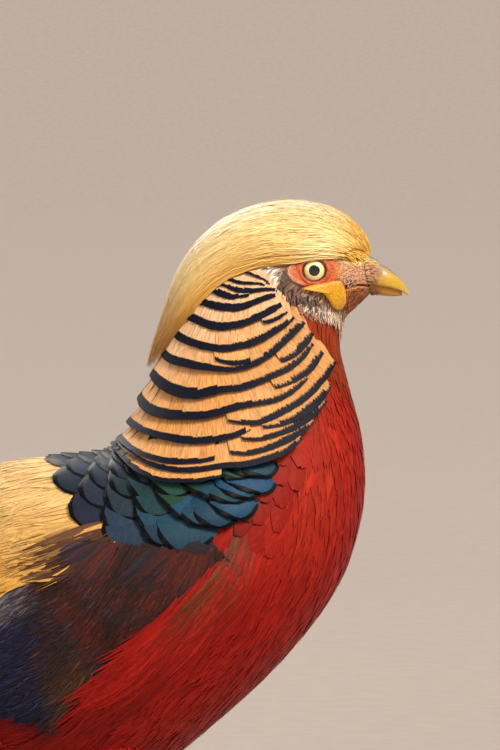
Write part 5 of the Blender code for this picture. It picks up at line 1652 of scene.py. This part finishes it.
def build_tail_coverts():
    """Long narrow scarlet coverts over the tail's base, and short chestnut ones under it."""
    draw = np.random.default_rng(43)
    look = plumage("spear_vane", 0.5, 35.0, 1.2, 0.4, sheen=0.0, shaft=0.5, shaft_width=0.35, specular=0.1)
    share = np.linspace(0, 1, 26)
    count = SPEAR_COUNT
    place = (np.arange(count) + 0.5) / count * 2 - 1
    length = 258 - 120 * np.abs(place) ** 0.9 + draw.uniform(-9, 9, count)
    lift = (1.4 + 1.4 * (np.arange(count) % 3) / 2)[:, None] * np.minimum(1, 8 * share)
    lift = lift - 3.0 * (1 - share) ** 8
    middle, out = tail_lines(length, place * 11, place * 46, lift, share, 2.0)
    half = draw.uniform(4.2, 5.4, (count, 1)) * outline(SPEAR_SHAPE, share)
    base = smooth(0.55, 0.15, share)[None, :, None]
    shade = np.array(SCARLET) * (1 - base) + np.array((0.30, 0.13, 0.03)) * base
    shade = shade * np.clip(1 + draw.normal(0, 0.12, (count, 1, 1)), 0.5, 1.5)
    root = columns(0.3, place * 60)
    vanes(
        "spear_coat", middle, out, half, BLADE, shade, root, look, (), 0.3, 0.10,
        ragged=0.4, seed=44, patch=0.006,
    )
    count = UNDERTAIL_COUNT
    share = np.array([0, 0.3, 0.6, 0.85, 1.0])
    place = draw.uniform(-1, 1, count)
    first = draw.uniform(-6, 22, count)
    turn = place * 0.62 * math.pi + math.pi
    along = first[:, None] + draw.uniform(28, 46, (count, 1)) * share
    reach = 1 - 0.25 * share
    across = 12.0 * np.sin(turn)[:, None] * reach
    lift = -9 + 9.0 * np.cos(turn)[:, None] * reach
    lift = lift + draw.uniform(-1.6, 0.6, (count, 1)) * np.minimum(1, 4 * share)
    middle = tail_point(along, across, lift)
    inside = tail_point(along, across * 0.5, -9 + 0.5 * (lift + 9))
    half = draw.uniform(0.9, 1.6, (count, 1)) * outline(TUFT, share)
    shade = blended(varied(CHESTNUT, draw, count, 0.25), varied(DARK_RED, draw, count), draw.random(count))
    root = columns(0.1, np.degrees(turn) - 360 * (turn > math.pi))
    down = plumage("undertail_vane", 0.55, 25.0, 1.0, 0.45, sheen=0.0, specular=0.12)
    vanes(
        "undertail_coat", middle, unit(middle - inside), half, LEAF, shade, root, down, (),
        0.3, 0.1, seed=45,
    )


def tube_rings(path, radii, around, squash=1.0, across=None, floor=None, shape=None):
    """Rings of a tapered tube along a path. shape(run, turn) is the share of the radius at a
    length along the tube and an angle from its lowest side, and floor flattens what is lower."""
    path = np.asarray(path, float)
    along = unit(np.gradient(path, axis=0))
    side = np.cross(along, (0.0, 0.0, 1.0)) if across is None else np.broadcast_to(across, path.shape)
    side = unit(side - (side * along).sum(1, keepdims=True) * along)
    up = np.cross(side, along)
    run = np.concatenate([[0], np.cumsum(np.linalg.norm(np.diff(path, axis=0), axis=1))])
    turn = 2 * math.pi * np.arange(around) / around
    scale = np.asarray(radii, float)[:, None] * (1.0 if shape is None else shape(run[:, None], turn[None]))
    rings = (
        path[:, None] + side[:, None] * (scale * np.sin(turn) * squash)[..., None]
        - up[:, None] * (scale * np.cos(turn))[..., None]
    )
    if floor is not None:
        rings[..., 2] = np.maximum(rings[..., 2], floor)
    return rings


FOOT_X, FOOT_Y = -24.0, 27.0
THIGH_ROWS = ((10, 152, 26), (2, 130, 21), (-12, 111, 14), (-24, 98, 8.5), (-30, 92, 6.2))
SHANK_ROWS = (
    (-30.3, 91.7, 6.1), (-33.8, 88.2, 6.1), (-36.8, 83, 5.8), (-36.6, 77, 4.7), (-34, 66, 3.6),
    (-30.5, 48, 3.2), (-27, 28, 3.2), (-24.6, 13, 3.9), (-24, 6.5, 4.4),
)
SPUR_ROWS = ((-28.5, 33, 2.2), (-32.5, 33.2, 1.9), (-36.5, 34.6, 1.2), (-39.5, 36.8, 0.4))
# Toes: name, heading outwards from straight ahead, length and radius at the root.
TOES = (("inner", -27, 33, 3.2), ("middle", 2, 45, 3.5), ("outer", 31, 36, 3.1), ("hind", 164, 14, 2.6))
LEG_YELLOW = (0.50, 0.34, 0.14)
CLAW_HORN = (0.085, 0.060, 0.042)
SPUR_HORN = (0.26, 0.18, 0.11)
LEFTWARD = (0.0, 1.0, 0.0)
THIGH_RINGS = 60


def scutes(period, depth, front):
    """Plates that overlap down a leg or toe, on the side that faces front, in radians."""
    def shape(run, turn):
        step = (run / period) % 1.0
        plate = depth * (step**1.4 - 0.5) - 1.6 * depth * np.exp(-((np.minimum(step, 1 - step) / 0.07) ** 2))
        off = np.abs((turn - front + math.pi) % (2 * math.pi) - math.pi)
        facing = smooth(math.pi * 0.62, math.pi * 0.42, off)
        small = np.sin(run * 2 * math.pi / (period * 0.45)) * np.sin(turn * 7)
        return 1 + plate * facing + depth * 0.35 * small * (1 - facing)
    return shape


def leg_path(rows, count, y):
    """A leg's centre line from rows of x, z and radius, and its radii."""
    row = traced(rows, count)
    return columns(row[:, 0], y, row[:, 1]), row[:, 2]


def build_legs():
    """Feathered thighs, and bare scuted shanks and toes with smooth claws."""
    skin_look = bare_skin("leg_skin", 0.5, 1100.0, 0.00025, 0.25, 0.15, 0.1)
    down_look = bare_skin("thigh_skin", 0.7, 900.0, 0.0003, 0.3)
    claw_look = horn("claw_horn", 0.28, 0.4)
    coat_look = plumage("thigh_vane", 0.48, 15.0, 1.2, 0.4, sheen=0.0, specular=0.12)
    for side, name in SIDES:
        build_thigh(side, name, down_look, coat_look)
        path, radius = leg_path(SHANK_ROWS, 330, side * FOOT_Y)
        shank = tube_rings(path, radius, 40, 0.82, LEFTWARD, 0.0, scutes(4.6, 0.09, 0.0))
        path, radius = leg_path(SPUR_ROWS, 24, side * (FOOT_Y - 1.0))
        spur = tube_rings(path, radius, 20, across=LEFTWARD)
        tubes, claws = [(shank, leg_tint(shank)), (spur, SPUR_HORN)], []
        for _, heading, length, radius in TOES:
            rings, claw = toe_rings(side, heading, length, radius)
            tubes.append((rings, leg_tint(rings)))
            claws.append((claw, CLAW_HORN))
        tubes_piece("foot_skin_" + name, tubes, skin_look, ("foot_" + name,))
        replaced = [f"claw_{toe[0]}_{name}" for toe in TOES]
        tubes_piece("claw_horns_" + name, claws, claw_look, replaced)


def leg_tint(rings):
    """Yellowish horn, brown under the toes and at the top of the shank."""
    z = rings[..., 2]
    return layered(
        LEG_YELLOW, ((0.30, 0.20, 0.12), smooth(2.2, 0.4, z)), ((0.36, 0.22, 0.12), smooth(60, 88, z)),
    )


def toe_rings(side, heading, length, radius):
    """A toe from the foot's middle out to the floor, and its claw."""
    turn = math.radians(heading) * side
    ahead = np.array([math.cos(turn), math.sin(turn), 0.0])
    root = np.array([FOOT_X, side * FOOT_Y, 0.0])
    count = int(length * 3.4)
    share = np.linspace(0, 1, count)
    knots = np.arange(6)
    knuckle = 1 + 0.10 * np.cos(rows_at(knots[:, None] * math.pi, share * 5)[:, 0])
    thick = radius * (1 - 0.34 * share) * knuckle
    height = thick * 0.8 + 1.2 * (1 - share) ** 2
    path = root + ahead * (length * share)[:, None] + np.array([0, 0, 1.0]) * height[:, None]
    rings = tube_rings(path, thick, 32, floor=0.0, shape=scutes(2.5, 0.10, math.pi))
    tip = np.linspace(0, 1, 30)[:, None]
    drop = (thick[-1] * 0.35 * tip**2 - 0.3 * np.sin(tip * math.pi)) * (0, 0, 1.0)
    claw_path = path[-1] + ahead * (0.3 + 8.5 * tip) - drop
    claw_thick = thick[-1] * np.interp(tip[:, 0], (0, 0.33, 0.67, 1), (0.82, 0.66, 0.4, 0.1))
    return rings, tube_rings(claw_path, claw_thick, 20, 0.8, floor=0.05)


def build_thigh(side, name, skin_look, coat_look):
    """A drumstick of skin under short pointed feathers."""
    draw = np.random.default_rng(50 + side)
    steps = np.arange(THIGH_RINGS)
    last = THIGH_RINGS - 1
    path, radius = leg_path(THIGH_ROWS, THIGH_RINGS, side * (FOOT_Y + 2.0 * (1 - steps / last)))
    radius = (radius - 1.6) * (0.30 + 0.70 * smooth(2, 27, steps))
    rings = tube_rings(path, radius, 48, 0.8, LEFTWARD)
    closed_ring_piece("thigh_skin_" + name, rings, DARK_RED, skin_look, ("thigh_" + name,))
    count = THIGH_COUNT
    first = 4 + 50 * draw.random(count) ** 0.9
    turn = draw.uniform(0, 2 * math.pi, count)
    share = np.array([0, 0.3, 0.6, 0.85, 1.0])
    place = first[:, None] + draw.uniform(9, 15, (count, 1)) * share
    place = np.clip(place, 0, THIGH_RINGS + 0.5)
    lift = -0.8 + 2.6 * np.minimum(1, share * 1.8) * draw.uniform(0.4, 1.0, (count, 1))
    centre = columns(*(np.interp(place, steps, path[:, k]) for k in range(3)))
    centre += np.clip(place - last, 0, None)[..., None] * (path[-1] - path[-2])
    up = np.cross(LEFTWARD, unit(path[-1] - path[0]))
    spread = turn[:, None] + draw.normal(0, 0.12, (count, 1)) * share
    way = np.array(LEFTWARD) * (np.sin(spread) * 0.8)[..., None] - up * np.cos(spread)[..., None]
    middle = centre + way * (np.interp(place, steps, radius) + lift)[..., None]
    half = draw.uniform(0.6, 1.0, (count, 1)) * outline(TUFT, share)
    shade = washed(varied(SCARLET, draw, count, 0.2), CHESTNUT, smooth(20, 55, first), draw)
    root = columns(3.6, side * (150 + 20 * np.sin(turn)))
    vanes(
        "thigh_coat_" + name, middle, unit(way), half, LEAF, shade, root, coat_look, (),
        0.25, 0.15, seed=51,
    )


WALL_START, WALL_BEND = 17.0, 7.0


def build_stage():
    """A pale floor that curves up into a wall far off, all round the bird."""
    look, tree, shader = new_material("studio_paper")
    place = object_place(tree)
    grain = ramp_node(tree, noise_node(tree, place, 60.0), 0.3, 0.7)
    away = node(tree, "VectorMath", {0: place}, operation="LENGTH").outputs["Value"]
    near = mix_node(tree, grain, (0.285, 0.235, 0.205), (0.30, 0.25, 0.218))
    far = mix_node(tree, grain, (0.50, 0.425, 0.365), (0.53, 0.45, 0.39))
    colour = mix_node(tree, ramp_node(tree, away, 1.0, 3.6), near, far)
    feed(tree, shader, {
        "Base Color": colour, "Roughness": 0.9, "Emission Color": colour, "Emission Strength": 0.42,
    })
    turn = np.radians(np.linspace(0, 360, 96, endpoint=False))
    bend = np.radians(np.linspace(8, 90, 12))
    rings = [(0.01, 0.0), (3.0, 0.0), (9.0, 0.0), (WALL_START, 0.0)]
    rings += [(WALL_START + WALL_BEND * math.sin(a), WALL_BEND * (1 - math.cos(a))) for a in bend]
    rings += [(WALL_START + WALL_BEND, 2 * WALL_BEND)]
    points = [(r * math.cos(a), r * math.sin(a), z) for r, z in rings for a in turn]
    here = np.arange(len(rings) - 1)[:, None] * len(turn)
    j, k = np.arange(len(turn)), (np.arange(len(turn)) + 1) % len(turn)
    faces = columns(here + j, here + j + len(turn), here + k + len(turn), here + k).reshape(-1, 4)
    mesh = bpy.data.meshes.new("studio_floor")
    mesh.from_pydata(points, [], [*faces.tolist(), list(range(len(turn)))])
    mesh.shade_smooth()
    mesh.materials.append(look)
    floor = bpy.data.objects.new("studio_floor", mesh)
    bpy.context.scene.collection.objects.link(floor)


def aimed(name, data, place, way):
    """A light or camera at a place, looking along a vector."""
    made = bpy.data.objects.new(name, data)
    made.location = place
    made.rotation_euler = Vector(way).to_track_quat("-Z", "Y").to_euler()
    bpy.context.scene.collection.objects.link(made)
    return made


LIGHT_CENTRE = (20.0, 0.0, 230.0)
# Lights: name, place from that centre in metres, size in metres, power and colour.
LIGHTS = (
    ("key", (0.9, -1.3, 1.5), 0.9, 50.0, (1.0, 0.93, 0.84)),
    ("fill", (-4.0, -3.0, 1.8), 4.0, 76.0, (0.92, 0.95, 1.0)),
    ("rim", (-0.6, 1.5, 1.4), 1.0, 26.0, (1.0, 0.96, 0.9)),
)
VIEW_CENTRE = (58.8, 0.0, 281.4)
VIEW_HIGH_MM, CAMERA_DISTANCE, CAMERA_RISE = 315.0, 2.5, 2.5


def build_camera_and_lights():
    """The camera at the photograph's viewing angle, three soft lights and an even pale sky."""
    aim = placed(VIEW_CENTRE)
    rise = math.radians(CAMERA_RISE)
    place = aim + CAMERA_DISTANCE * np.array((0.0, -math.cos(rise), math.sin(rise)))
    camera = bpy.data.cameras.new("camera")
    camera.sensor_width = 36.0
    camera.lens = camera.sensor_width * CAMERA_DISTANCE / (VIEW_HIGH_MM * MM)
    bpy.context.scene.camera = aimed("camera", camera, place, aim - place)
    centre = placed(LIGHT_CENTRE)
    for name, off, size, power, colour in LIGHTS:
        light = bpy.data.lights.new(name, "AREA")
        light.shape, light.size, light.energy, light.color = "DISK", size, power, colour
        aimed(name, light, centre + off, centre - (centre + off))
    world = bpy.data.worlds.new("studio")
    bpy.context.scene.world = world
    world.use_nodes = True
    feed(world.node_tree, world.node_tree.nodes["Background"], {0: (1.0, 0.97, 0.93, 1.0), 1: 0.62})
    bpy.context.scene.view_settings.view_transform = "Standard"


build_stage()
build_camera_and_lights()
build_skin()
build_eyes()
build_lappets()
build_bill()
build_crest()
build_cape()
build_mantle()
build_scarlet()
build_gold()
build_face_coat()
build_wings()
build_tail()
build_legs()
